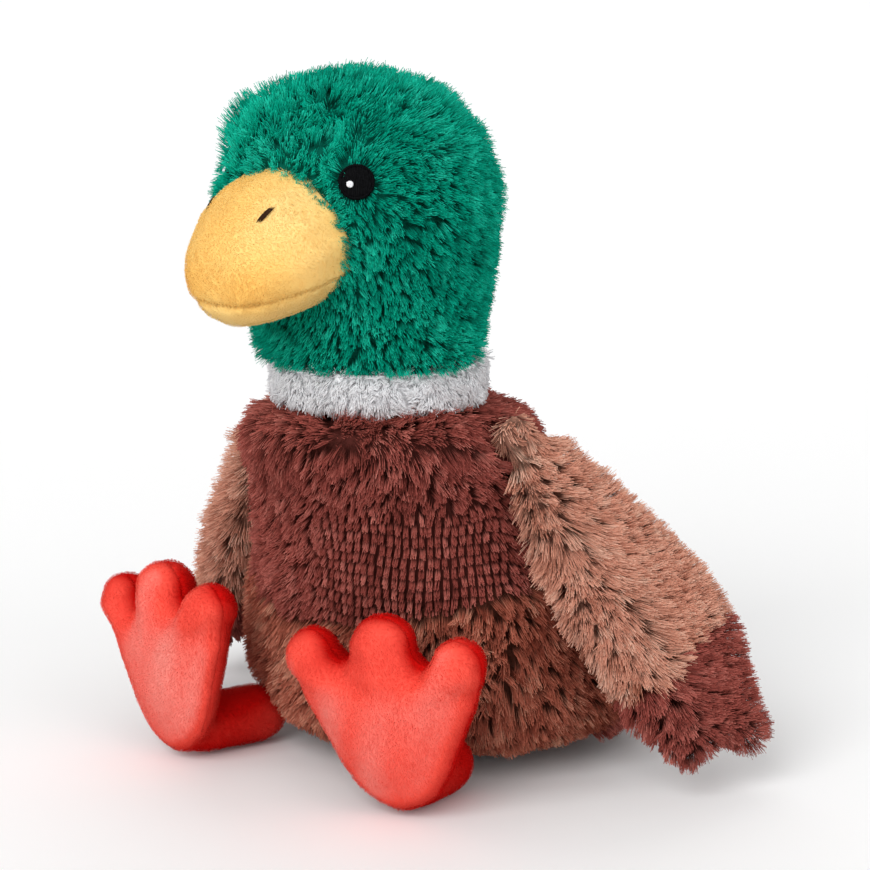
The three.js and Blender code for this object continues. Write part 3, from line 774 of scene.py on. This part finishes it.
def chest_cells(points):
    """The column and row of the weave at each place, which are uneven where the weave is hidden."""
    columns = round_chest(points) * GRID_RADIUS / GRID_ACROSS
    places = np.stack([columns, points[:, 2] / GRID_UP], axis=1)
    unwoven = 1 - grid_strength(points)
    places += 0.2 * waves(points, 20 * MM, 13)[:, :2]
    places += 0.9 * unwoven[:, None] * waves(points, 5 * MM, 14)[:, :2]
    return np.floor(places).astype(int)


def chest_lift(points, normals):
    woven = grid_strength(points)
    return (1 - woven) * body_lift(points, normals) + 1.1 * woven


def chest_trim(points, normals):
    """Shorter where the weave shows, and longer on the shoulders."""
    shoulder = fade(118 * MM, 134 * MM, points[:, 2])
    woven = grid_strength(points)
    return 1 + 0.15 * (1 - woven) * waves(points, 9 * MM, 15)[:, 0] - 0.25 * woven + 0.4 * shoulder


def chest_flow(points, normals):
    """Straight down where the weave shows."""
    straight = 0.95 * grid_strength(points)[:, None]
    return (1 - straight) * body_flow(points, normals) - straight * UP


def chest_knots(points, normals):
    return 0.22 * grid_strength(points)


def chest_clump(points, normals):
    return 1 - 0.4 * grid_strength(points)


def belly_tone(points, normals):
    """Soft blotches, and darker towards the hips: painted shade under the wings."""
    shade_under_wings = fade(46 * MM, 84 * MM, np.abs(points[:, 0]))
    return 0.15 * waves(points, 12 * MM, 17)[:, 0] - 0.3 * shade_under_wings


def belly_trim(points, normals):
    """Shorter towards the seat."""
    return 0.45 + 0.55 * fade(8 * MM, 40 * MM, points[:, 2]) + 0.12 * waves(points, 9 * MM, 18)[:, 0]


def wing_place(points):
    """Places on a wing as on the left one, and the signs that bring directions back."""
    side = np.where(points[:, :1] < 0, -1, 1) * np.array([[1, 0, 0]]) + np.array([[0, 1, 1]])
    return points * side - WING_ROOT, side


def wing_flow(points, normals):
    """Out over the shoulder, then along the wing and out to both edges from a parting near its front edge."""
    local, side = wing_place(points)
    outer = fade(-0.2, 0.2, (normals * side) @ WING_FACE)
    parting = np.tanh((local @ WING_ACROSS - WING_CREASE) / (6 * MM))
    spread = outer * np.where(parting > 0, 1.1, 0.9) * parting
    flow = WING_LENGTH + spread[:, None] * WING_ACROSS
    root = (1 - fade(10 * MM, 45 * MM, local @ WING_LENGTH))[:, None]
    flow = (1 - root) * flow + root * SHOULDER_FLOW
    return flow * side + 0.25 * waves(points, 22 * MM, 8)


def beside_crease(points):
    """1 at the parting of a wing and 0 away from it."""
    local, _ = wing_place(points)
    return bump(local @ WING_ACROSS - WING_CREASE, 15 * MM)


def wing_lift(points, normals):
    """Combed flat beside the parting and over the root, and more upright towards the back edge."""
    local, _ = wing_place(points)
    root = 1 - fade(2 * MM, 20 * MM, local @ WING_LENGTH)
    return 0.42 + 0.65 * beside_crease(points) + 0.9 * root + 0.12 * waves(points, 12 * MM, 19)[:, 0]


def wing_trim(points, normals):
    """Longest beside the parting, and at the tip's end longer at the back than at the front."""
    local, _ = wing_place(points)
    share = 0.55 + 0.5 * beside_crease(points) + 0.08 * waves(points, 8 * MM, 20)[:, 0]
    along_wing = local @ WING_LENGTH
    share *= 0.75 + 0.25 * fade(-2 * MM, 14 * MM, along_wing)
    end = fade(110 * MM, 140 * MM, along_wing)
    return share * (1 + end * (-0.5 + 0.45 * fade(-8 * MM, 12 * MM, local @ WING_ACROSS)))


WING_SLOPE = 10 * MM  # how far the back edge sinks at the shoulder
WING_CORNER = 9 * MM  # how far the tip's back corner is drawn down
WING_NARROW = 7 * MM  # how far the tip's back edge is drawn in
WING_TUCK = 3 * MM  # how far the root is pushed into the shoulder


def sloped(wing):
    """A wing's skin with its root tucked in, its back edge lowered there, and its tip drawn down behind."""
    local, side = wing_place(wing.points)
    along_wing, across = local @ WING_LENGTH, local @ WING_ACROSS
    drop = WING_SLOPE * (1 - fade(35 * MM, 105 * MM, along_wing)) * fade(-6 * MM, 14 * MM, across)
    drop += WING_NARROW * fade(105 * MM, 130 * MM, along_wing) * fade(0, 20 * MM, across)
    draw = WING_CORNER * fade(95 * MM, 135 * MM, along_wing) * fade(-8 * MM, 18 * MM, across)
    tuck = WING_TUCK * (1 - fade(0, 35 * MM, along_wing))
    moves = draw[:, None] * WING_LENGTH - drop[:, None] * WING_ACROSS - tuck[:, None] * (1, 0, 0)
    return Skin(wing.points + moves * side, wing.triangles)


TAIL_FLOW = np.array([0, 0.85, 0.45])
TAIL_TRIM = 0.65  # share of the back's pile


def tail_flow(points, normals):
    return TAIL_FLOW + 0.2 * waves(points, 25 * MM, 9)


def tail_trim(points, normals):
    return np.full(len(points), TAIL_TRIM)


# Plush panels, with each pile's length, spacing, lock, pull, lean and width

CHEST_PILE = Pile(7.5 * MM, 0.58 * MM, 3.6 * MM, 0.36, (15, 62), 0.26 * MM, mass=0.1)
BELLY_PILE = Pile(10 * MM, 0.56 * MM, 3.2 * MM, 0.33, (20, 66), 0.25 * MM)
BACK_PILE = Pile(9 * MM, 0.63 * MM, 3.6 * MM, 0.4, (15, 60), 0.3 * MM)
SEAT_PILE = Pile(3.5 * MM, 1.1 * MM, 4 * MM, 0.4, (40, 75), 0.5 * MM)
HEAD_LAY = {"frizz": 0.45 * MM, "ruffle": 0.5, "mass": 0.25}
CHEEK_PILE = Pile(7.5 * MM, 0.51 * MM, 2.6 * MM, 0.42, (15, 62), 0.23 * MM, **HEAD_LAY)
CROWN_PILE = Pile(7.5 * MM, 0.555 * MM, 2.6 * MM, 0.42, (15, 62), 0.26 * MM, **HEAD_LAY)
NECK_PILE = Pile(4 * MM, 0.445 * MM, 3 * MM, 0.1, (48, 76), 0.34 * MM, ruffle=0.5, fleck=0.3)
WING_LAY = {"frizz": 0.4 * MM, "ruffle": 0.35, "mass": 0.15}
WING_PILE = Pile(13 * MM, 0.4 * MM, 2.8 * MM, 0.34, (15, 64), 0.22 * MM, **WING_LAY)
WING_INNER_PILE = Pile(11 * MM, 0.65 * MM, 3.4 * MM, 0.4, (15, 64), 0.34 * MM)
BODY_VOXEL = 4 * MM
THIN_VOXEL = 3 * MM
VELOUR_VOXEL = 2.2 * MM
BODY_SINK = 5.5 * MM  # how far a skin lies under the CAD's surface, which is the pile's
NECK_SINK = 1.5 * MM
SWELL = 2 * MM  # how far a skin is puffed up


def declare(piece, body, node):
    """Hides the CAD node that a piece stands for, and hangs the piece from the body that carries it, if it
    has one.
    """
    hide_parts(node)
    if body:
        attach(piece, body)


def dress(name, body, node, skin, pile, brush, material):
    """A plush piece that stands for a CAD node."""
    piece = plush(name, skin, pile, brush, material)
    declare(piece, body, node)
    return piece


def filling(name, body, skin, material=FIBRE):
    """What is inside a form, as a solid that stands for the CAD node of the same name."""
    piece = object_from(name + "_fill", skin.points, skin.triangles)
    piece.data.materials.append(material)
    declare(piece, body, name)


def stuffing(name, body, depth):
    """Lumpy fibre, well inside its CAD node."""
    form = remeshed(nodes(name), THIN_VOXEL).smoothed(3)
    lumps = 0.5 * MM * waves(form.points, 9 * MM, 21)[:, 0]
    filling(name, body, form.sunk(depth + lumps))


def shrunk(skin, share=0.75):
    """A smaller copy inside a thin rounded form."""
    middle = skin.points.mean(axis=0)
    return Skin(middle + share * (skin.points - middle), skin.triangles)


TORSO_PANELS = ["seat_panel", "belly_panel", "chest_panel", "back_left_panel", "back_right_panel"]
TORSO_FILL = ["chest_stuffing", "heat_pouch_front", "heat_pouch_back", "grain_fill"]
torso = remeshed(nodes(*TORSO_PANELS, *TORSO_FILL), BODY_VOXEL).smoothed(16).sunk(BODY_SINK + SWELL / 2)
torso = labelled(puffed(torso, SWELL), TORSO_PANELS)
body_brush = Brush(body_flow, lift=body_lift)
belly_brush = Brush(body_flow, belly_trim, body_lift, belly_tone)
chest_brush = Brush(
    chest_flow, chest_trim, chest_lift, cells=chest_cells, knots=chest_knots, clump=chest_clump,
)
for number, (name, slot, pile, brush, material) in enumerate([
    ("seat", "tan_plush", SEAT_PILE, body_brush, SHADED_BELLY_TAN),
    ("belly", "tan_plush", BELLY_PILE, belly_brush, SHADED_BELLY_TAN),
    ("chest", "dark_plush", CHEST_PILE, chest_brush, DARK),
    ("back_left", "dark_plush", BACK_PILE, body_brush, DARK),
    ("back_right", "dark_plush", BACK_PILE, body_brush, DARK),
]):
    dress(name + "_plush", "torso", TORSO_PANELS[number], torso.panel(number), pile, brush, material)

GRAIN_SINK = 4 * MM
POUCH_CLOTH = 1 * MM
POUCHES = ["heat_pouch_front", "heat_pouch_back"]
grain = remeshed(nodes("grain_fill"), BODY_VOXEL).smoothed(4).sunk(GRAIN_SINK)
pouch = labelled(grain.sunk(-1.2 * POUCH_CLOTH), POUCHES)
filling("grain_fill", "torso", grain, GRAIN)
for number, name in enumerate(POUCHES):
    filling(name, "torso", shell(pouch.panel(number), POUCH_CLOTH), COTTON)
stuffing("chest_stuffing", "torso", depth=9 * MM)

neck = remeshed(nodes("neck_collar", "neck_stuffing"), THIN_VOXEL).smoothed(2)
neck = Skin(neck.points - NECK_SINK * neck.normals * (1, 1, 0), neck.triangles)
neck_brush = Brush(neck_flow, neck_trim)
collar = dress("neck_plush", None, "neck_collar", neck, NECK_PILE, neck_brush, WHITE)
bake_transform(collar)
filling("neck_stuffing", "neck", shrunk(neck, share=0.5))

HEAD_PANELS = ["head_crown_panel", "head_left_panel", "head_right_panel"]


def head_depth(points):
    """Share of the pile's depth that the head's skin sinks by: less at its lower edge, more at the back."""
    _, y, z = points.T
    share = 0.25 + 0.75 * fade(HEAD_LOW, HEAD_LOW + 24 * MM, z) - 0.15 * fade(245 * MM, 275 * MM, z)
    share += 0.35 * fade(-60 * MM, -20 * MM, y) * fade(180 * MM, 210 * MM, z)
    return share + 0.6 * fade(*NAPE, y) * (1 - fade(HEAD_LOW + 10 * MM, HEAD_LOW + 45 * MM, z))


head = remeshed(nodes(*HEAD_PANELS, "head_stuffing"), BODY_VOXEL).smoothed(6)
head = head.sunk((BODY_SINK + SWELL / 2) * head_depth(head.points))
head = labelled(puffed(head, SWELL), HEAD_PANELS)
head_brush = Brush(head_flow, head_trim, head_lift, head_tone, clump=head_clump)
for number, name in enumerate(HEAD_PANELS):
    plush_name = name.replace("panel", "plush")
    pile = CROWN_PILE if "crown" in name else CHEEK_PILE
    dress(plush_name, "head", name, head.panel(number), pile, head_brush, GREEN)
stuffing("head_stuffing", "head", depth=7 * MM)

wing_brush = Brush(wing_flow, wing_trim, wing_lift)
for side in ("left", "right"):
    panels = [f"wing_{side}_{part}" for part in ("outer_panel", "inner_panel", "outer_tip", "inner_tip")]
    wing = sloped(remeshed(nodes(f"wing_{side}_stuffing"), THIN_VOXEL).smoothed(3))
    wing = labelled(puffed(wing, SWELL / 2), panels)
    for number, name in enumerate(panels):
        slot, material = ("dark_plush", DARK) if name.endswith("tip") else ("tan_plush", TAN)
        plush_name = name.replace("_panel", "") + "_plush"
        pile = WING_INNER_PILE if "inner" in name else WING_PILE
        dress(plush_name, f"wing_{side}", name, wing.panel(number), pile, wing_brush, material)
    filling(f"wing_{side}_stuffing", f"wing_{side}", shrunk(wing))

TAIL_PANELS = ["tail_upper_panel", "tail_lower_panel"]
tail = remeshed(nodes("tail_stuffing"), THIN_VOXEL).smoothed(3)
tail = labelled(puffed(tail, SWELL / 2), TAIL_PANELS)
tail_brush = Brush(tail_flow, tail_trim)
for number, name in enumerate(TAIL_PANELS):
    plush_name = name.replace("panel", "plush")
    dress(plush_name, "tail", name, tail.panel(number), BACK_PILE, tail_brush, DARK)
filling("tail_stuffing", "tail", shrunk(tail))

# Bill

VELOUR = Pile(0.9 * MM, 0.54 * MM, 2.5 * MM, 0, (30, 58), 0.2 * MM, frizz=0.1 * MM, ruffle=0.3, fleck=0.2)
VELOUR_SINK = 1 * MM
VELOUR_SWELL = 1.5 * MM
BILL_TILT = math.radians(12)
BILL_PLACE = np.array([0, -37, 226]) * MM
BILL_ALONG = np.array([0, -math.cos(BILL_TILT), -math.sin(BILL_TILT)])
BILL_UP = np.array([0, -math.sin(BILL_TILT), math.cos(BILL_TILT)])
MOUTH_DROP = 14 * MM
BILL_ROOT = 14 * MM  # how far the bill's rim is pushed into the head
MOUTH_SNAP = 0.45 * MM  # points this near the mouth are moved onto its line
MOUTH_DEPTH = 1.3 * MM
PUCKER = 0.3 * MM
head_tree = tree_of(Skin(*joined(nodes(*HEAD_PANELS))))
BILL_PANELS = ["bill_lower_panel", "bill_upper_panel"]


def over_mouth(points):
    return (points - BILL_PLACE) @ BILL_UP + MOUTH_DROP


def bill_flow(points, normals):
    return BILL_ALONG + 0.6 * waves(points, 14 * MM, 31)


def bill_tone(points, normals):
    """Warmer towards the mouth and the tip, and paler underneath as painted light on the shaded underside,
    with soft blotches.
    """
    mouth = bump(over_mouth(points) - 8 * MM, 10 * MM)
    tip = fade(72 * MM, 100 * MM, (points - BILL_PLACE) @ BILL_ALONG)
    lit_underside = fade(2 * MM, -8 * MM, over_mouth(points))
    return 0.04 - 0.24 * mouth * (0.4 + 0.6 * tip) + 0.25 * lit_underside + 0.08 * waves(points, 16 * MM, 33)[:, 0]


bill = remeshed(nodes(*BILL_PANELS, "bill_stuffing"), VELOUR_VOXEL).smoothed(6).sunk(VELOUR_SINK)
bill = subdivided(puffed(bill, VELOUR_SWELL).smoothed(6))
near_head = np.array([head_tree.find_nearest(point)[3] for point in bill.points.tolist()])
sewn_in = BILL_ROOT * (1 - fade(1 * MM, 7 * MM, near_head))
bill = Skin(bill.points - sewn_in[:, None] * BILL_ALONG, bill.triangles).smoothed(4)
over = over_mouth(bill.points)
snap = np.where(np.abs(over) < MOUTH_SNAP, over, 0)
bill = Skin(bill.points - snap[:, None] * BILL_UP, bill.triangles)
over = over_mouth(bill.points)
puckers = PUCKER * waves(bill.points, 3.5 * MM, 35)[:, 0] * bump(over, 3.5 * MM)
bill = bill.sunk(MOUTH_DEPTH * bump(over, 1.4 * MM) + puckers)
bill = bill.split((over_mouth(bill.middles()) > 0).astype(int))
bill_brush = Brush(bill_flow, tone=bill_tone)
for number, name in enumerate(BILL_PANELS):
    dress(name.replace("panel", "velour"), "head", name, bill.panel(number), VELOUR,
          bill_brush, YELLOW)
filling("bill_stuffing", "head", shrunk(bill))

# Legs and webbed feet

left_hip = JOINTS["leg_left_swing"]
LEG_SPLAY = math.atan2(-left_hip["axis"][1], -left_hip["axis"][0])
LEG_RADIUS = 12.5 * MM
FOOT_LIES = {"left": (30 * MM, 6, 4), "right": (36 * MM, 0, -8)}  # leg's length, degrees of lean and of roll
MIRRORS = {"left": (1, 1, 1), "right": (-1, 1, 1)}
TOES = (  # each bar's start, end and radius in millimetres, as places on a foot
    ((0, 0, 56), (0, 0, 69), 12.5),
    ((10, 0, 54), (3, 0, 69), 10.5),
    ((-10, 0, 54), (-3, 0, 69), 10.5),
    ((16, 0, 50), (32, 0, 61.5), 11.5),
    ((-16, 0, 50), (-32, 0, 61.5), 11.5),
)
WEB = np.array([18, 64]) * MM  # the bottom of the notch beside the middle toe: across and up
CREASE_END = np.array([12, 44]) * MM
NOTCH_DEPTH = 1.5 * MM
SEAM_DEPTH = 0.5 * MM
CREASE_DEPTH = 1.6 * MM
FOLD_DEPTH = 0.3 * MM


def capsule(start, end, radius):
    """A round-ended bar."""
    ball = bmesh.new()
    bmesh.ops.create_icosphere(ball, subdivisions=3, radius=radius)
    ball.verts.index_update()
    points = np.array([vertex.co for vertex in ball.verts])
    triangles = np.array([[vertex.index for vertex in face.verts] for face in ball.faces])
    ball.free()
    ahead = points @ (end - start) > 0
    return Skin(start + points + np.outer(ahead, end - start), triangles)


class Foot:
    """One webbed foot. Places on it are across, through from the sole and up, as on the left foot."""

    def __init__(self, side):
        self.leg = f"leg_{side}"
        self.mirror = np.array(MIRRORS[side])
        length, lean, roll = FOOT_LIES[side]
        lie = (
            Matrix.Translation(left_hip["pos_m"]) @ Matrix.Rotation(LEG_SPLAY, 4, "Z")
            @ Matrix.Translation((0, -length, -LEG_RADIUS))
            @ Matrix.Rotation(math.radians(lean), 4, "X") @ Matrix.Rotation(math.radians(-roll), 4, "Y")
        )
        self.axes = np.array(lie.to_3x3())
        self.origin = np.array(lie.translation)

    def places(self, points):
        return (points * self.mirror - self.origin) @ self.axes

    def world(self, place):
        return (self.origin + self.axes @ place) * self.mirror

    def tone(self, points, normals):
        """Paler on the sole, most of all below the toes: painted light where the sole meets the light. Deeper
        in the creases and on the leg: painted shade. With soft blotches.
        """
        places = self.places(points)
        sole = fade(2 * MM, -8 * MM, places[:, 1])
        low = 1 - fade(44 * MM, 70 * MM, places[:, 2])
        blotches = 0.1 * waves(points, 14 * MM, 43)[:, 0]
        # the deep base is the leg's painted shade, the sole's term painted light and the crease term painted
        # shade
        return -0.5 + sole * (0.46 + 0.19 * low) - 0.25 * toe_crease(places) + blotches

    def skin(self):
        parts = nodes(f"{self.leg}_sole", f"{self.leg}_upper", f"{self.leg}_stuffing")
        for start, end, radius in TOES:
            ends = [self.world(np.array(place) * MM) for place in (start, end)]
            parts.append(capsule(*ends, radius * MM))
        skin = remeshed(parts, VELOUR_VOXEL).smoothed(6).sunk(VELOUR_SINK)
        skin = subdivided(puffed(skin, VELOUR_SWELL).smoothed(6))
        across, _, up = self.places(skin.points).T
        notch = NOTCH_DEPTH * bump(np.abs(across) - WEB[0], 5 * MM) * fade(48 * MM, 66 * MM, up)
        skin = Skin(skin.points - notch[:, None] * self.axes[:, 2] * self.mirror, skin.triangles)
        places = self.places(skin.points)
        seam = bump(places[:, 1], 0.9 * MM)
        folds = waves(skin.points * (0.4, 0.4, 2.2), 7 * MM, 45)[:, 0] * fade(46 * MM, 60 * MM, places[:, 2])
        skin = skin.sunk(SEAM_DEPTH * seam + CREASE_DEPTH * toe_crease(places) + FOLD_DEPTH * folds)
        behind = self.places(skin.middles())[:, 1] > 0
        return skin.split(behind.astype(int))


def toe_crease(places):
    """1 along the creases that run down from the notches between the toes, and 0 away from them."""
    flat = np.stack([np.abs(places[:, 0]), places[:, 2]], axis=1)
    line = CREASE_END - WEB
    share = np.clip((flat - WEB) @ line / (line @ line), 0, 1)
    away = np.linalg.norm(flat - WEB - share[:, None] * line, axis=1)
    return bump(away, 6 * MM) * (1 - share) ** 2


def foot_flow(points, normals):
    return 0.35 * waves(points, 16 * MM, 41) - UP


for side in ("left", "right"):
    foot = Foot(side)
    skin = foot.skin()
    foot_brush = Brush(foot_flow, tone=foot.tone)
    for number, name in enumerate((f"{foot.leg}_sole", f"{foot.leg}_upper")):
        dress(name + "_velour", foot.leg, name, skin.panel(number), VELOUR,
              foot_brush, RED)
    stuffing(f"{foot.leg}_stuffing", foot.leg, depth=6.5 * MM)

# Embroidery

STITCH_SIDES = 6
STITCH_STEPS = 7
STITCH_TAPER = 0.02  # radians of the half wave that are left out at a thread's ends
ASKEW = np.array([0.31, 0.17, 0.94])  # along no thread
DOME_RINGS = 6
DOME_SIDES = 28
DOME_SHARES = (1, 0.05)  # of the radius, at the lowest ring and the highest
DOME_BULGE = 0.9  # how far the dome falls off to its edge
ROW_SHARE = 0.96  # how much of the dome a row of stitches crosses
ROW_SWAY = 0.25  # share of the spacing
ROW_BREAK = 0.6  # breaks in a row stay within this share of its half length
LEAST_STITCH = 0.6 * MM
ROW_RISE = 0.1 * MM
RIM_RISE = 0.35 * MM
RIM_SLANT = 0.13  # radians
RIM_SHARES = (0.88, 1.05)  # of the radius, at a rim stitch's ends


def tube(steps, sides):
    """Triangles of a closed tube of rings."""
    triangles = []
    last = (steps - 1) * sides
    for side in range(sides):
        after = (side + 1) % sides
        for ring in range(0, last, sides):
            triangles.append((ring + side, ring + after, ring + sides + after))
            triangles.append((ring + side, ring + sides + after, ring + sides + side))
        if 0 < side < sides - 1:
            triangles.append((0, side + 1, side))
            triangles.append((last, last + side, last + side + 1))
    return np.array(triangles)


def stitches(paths, radius):
    """Threads that taper into the cloth at both ends. Paths hold threads, steps and directions."""
    count, steps, _ = paths.shape
    ahead = unit(np.gradient(paths, axis=1))
    sideways = unit(np.cross(ahead, ASKEW))
    upwards = np.cross(sideways, ahead)
    angles = np.arange(STITCH_SIDES) * 2 * math.pi / STITCH_SIDES
    radii = radius * np.sqrt(np.sin(np.linspace(STITCH_TAPER, math.pi - STITCH_TAPER, steps)))
    spokes = np.cos(angles)[:, None] * sideways[:, :, None] + np.sin(angles)[:, None] * upwards[:, :, None]
    points = paths[:, :, None] + radii[None, :, None, None] * spokes
    starts = np.arange(count) * steps * STITCH_SIDES
    triangles = starts[:, None, None] + tube(steps, STITCH_SIDES)
    return Skin(points.reshape(-1, 3), triangles.reshape(-1, 3))


def sewn(name, material, parts):
    """Stitching on the head that stands for the CAD node of the same name."""
    piece = object_from(name + "_stitching", *joined(parts))
    piece.data.materials.append(material)
    declare(piece, "head", name)


class Patch:
    """A small round dome of stitching in a CAD node's place: its middle, directions, radius and height."""

    def __init__(self, node, inside, shift):
        points = nodes(node)[0].points + shift
        self.middle = points.mean(axis=0)
        _, _, axes = np.linalg.svd(points - self.middle)
        self.out = axes[2] * np.sign(axes[2] @ (self.middle - inside))
        self.side = unit(np.cross(UP, self.out))
        self.up = np.cross(self.out, self.side)
        away = points - self.middle
        self.radius = np.abs(away @ self.side).max()
        self.low = (away @ self.out).min()
        self.height = np.ptp(away @ self.out)

    def at(self, across, up, raised=0.0):
        """Points on the dome, or raised over it."""
        far = (across ** 2 + up ** 2) / self.radius ** 2
        rise = self.low + self.height * np.sqrt(np.maximum(0, 1 - DOME_BULGE * far)) + raised
        flat = self.middle + across[..., None] * self.side + up[..., None] * self.up
        return flat + rise[..., None] * self.out

    def dome(self):
        """The padding under the stitches."""
        shares = np.linspace(*DOME_SHARES, DOME_RINGS)
        turns = np.arange(DOME_SIDES) * 2 * math.pi / DOME_SIDES
        far, angle = np.meshgrid(self.radius * shares, turns, indexing="ij")
        top = self.at(far * np.cos(angle), far * np.sin(angle)).reshape(-1, 3)
        bottom = top[:DOME_SIDES] - 0.5 * self.height * self.out
        return Skin(np.concatenate([bottom, top]), tube(DOME_RINGS + 1, DOME_SIDES))

    def rows(self, spacing, radius):
        """Upright rows of stitches side by side over the dome."""
        lines = np.arange(-self.radius + spacing, self.radius - spacing / 2, spacing)
        paths = []
        for line in lines:
            half = ROW_SHARE * math.sqrt(self.radius ** 2 - line ** 2)
            breaks = [-half, *np.sort(rng.uniform(-ROW_BREAK, ROW_BREAK, 2) * half), half]
            for low, high in zip(breaks[:-1], breaks[1:]):
                if high - low > LEAST_STITCH:
                    up = np.linspace(low, high, STITCH_STEPS)
                    sway = ROW_SWAY * spacing * rng.normal()
                    paths.append(self.at(np.full(STITCH_STEPS, line + sway), up, ROW_RISE))
        return stitches(np.array(paths), radius)

    def rim(self, count, radius):
        """Short slanted stitches round the edge."""
        slant = np.linspace(0, RIM_SLANT, STITCH_STEPS)
        turns = np.arange(count)[:, None] * 2 * math.pi / count + slant
        far = self.radius * np.linspace(*RIM_SHARES, STITCH_STEPS)
        arch = RIM_RISE * np.sin(np.linspace(0, math.pi, STITCH_STEPS))
        return stitches(self.at(far * np.cos(turns), far * np.sin(turns), arch), radius)


HEAD_MIDDLE = head.points.mean(axis=0)
EYE_SINK = 3.2 * MM
GLINT_RISE = np.array([0, 0, 1.4]) * MM
NOSTRIL_STITCHES = 3
NOSTRIL_SPACING = 0.55 * MM
NOSTRIL_SLIP = 0.12  # how far each stitch starts past the last, as a share of its half length
NOSTRIL_RISE = 0.4 * MM  # at a stitch's ends, and as much again at its middle
NOSTRIL_SHIFTS = {"left": (0, 0, 0), "right": (-4, 6, -1)}  # millimetres, the right one further back
bill_tree = tree_of(bill)


def nostril_threads(side):
    """A few long stitches on the bill, side by side."""
    points = nodes(f"nostril_{side}")[0].points + np.array(NOSTRIL_SHIFTS[side]) * MM
    middle = points.mean(axis=0)
    stroke = np.linalg.svd(points - middle)[2][0]
    half_length = np.abs((points - middle) @ stroke).max()
    place, out, _, _ = bill_tree.find_nearest(middle.tolist())
    across = np.cross(stroke, out)
    reach = np.linspace(-1, 1, STITCH_STEPS)[:, None]
    rise = NOSTRIL_RISE * (2 - reach ** 2) * np.array(out)
    paths = []
    for number in range(NOSTRIL_STITCHES):
        step = number - (NOSTRIL_STITCHES - 1) / 2
        line = half_length * (reach + NOSTRIL_SLIP * step) * stroke + NOSTRIL_SPACING * step * across
        paths.append(np.array(place) + line + rise)
    return stitches(np.array(paths), radius=0.42 * MM)


for side, eye_place in zip(("left", "right"), EYES):
    deeper = EYE_SINK * unit(HEAD_MIDDLE - eye_place)
    eye = Patch(f"eye_{side}", HEAD_MIDDLE, deeper)
    rows = eye.rows(spacing=0.42 * MM, radius=0.24 * MM)
    rim = eye.rim(count=58, radius=0.36 * MM)
    sewn(f"eye_{side}", BLACK_THREAD, [eye.dome(), rows, rim])
    glint = Patch(f"eye_glint_{side}", HEAD_MIDDLE, deeper + GLINT_RISE)
    rows = glint.rows(spacing=0.4 * MM, radius=0.2 * MM)
    sewn(f"eye_glint_{side}", WHITE_THREAD, [glint.dome(), rows])
    sewn(f"nostril_{side}", BROWN_THREAD, [nostril_threads(side)])
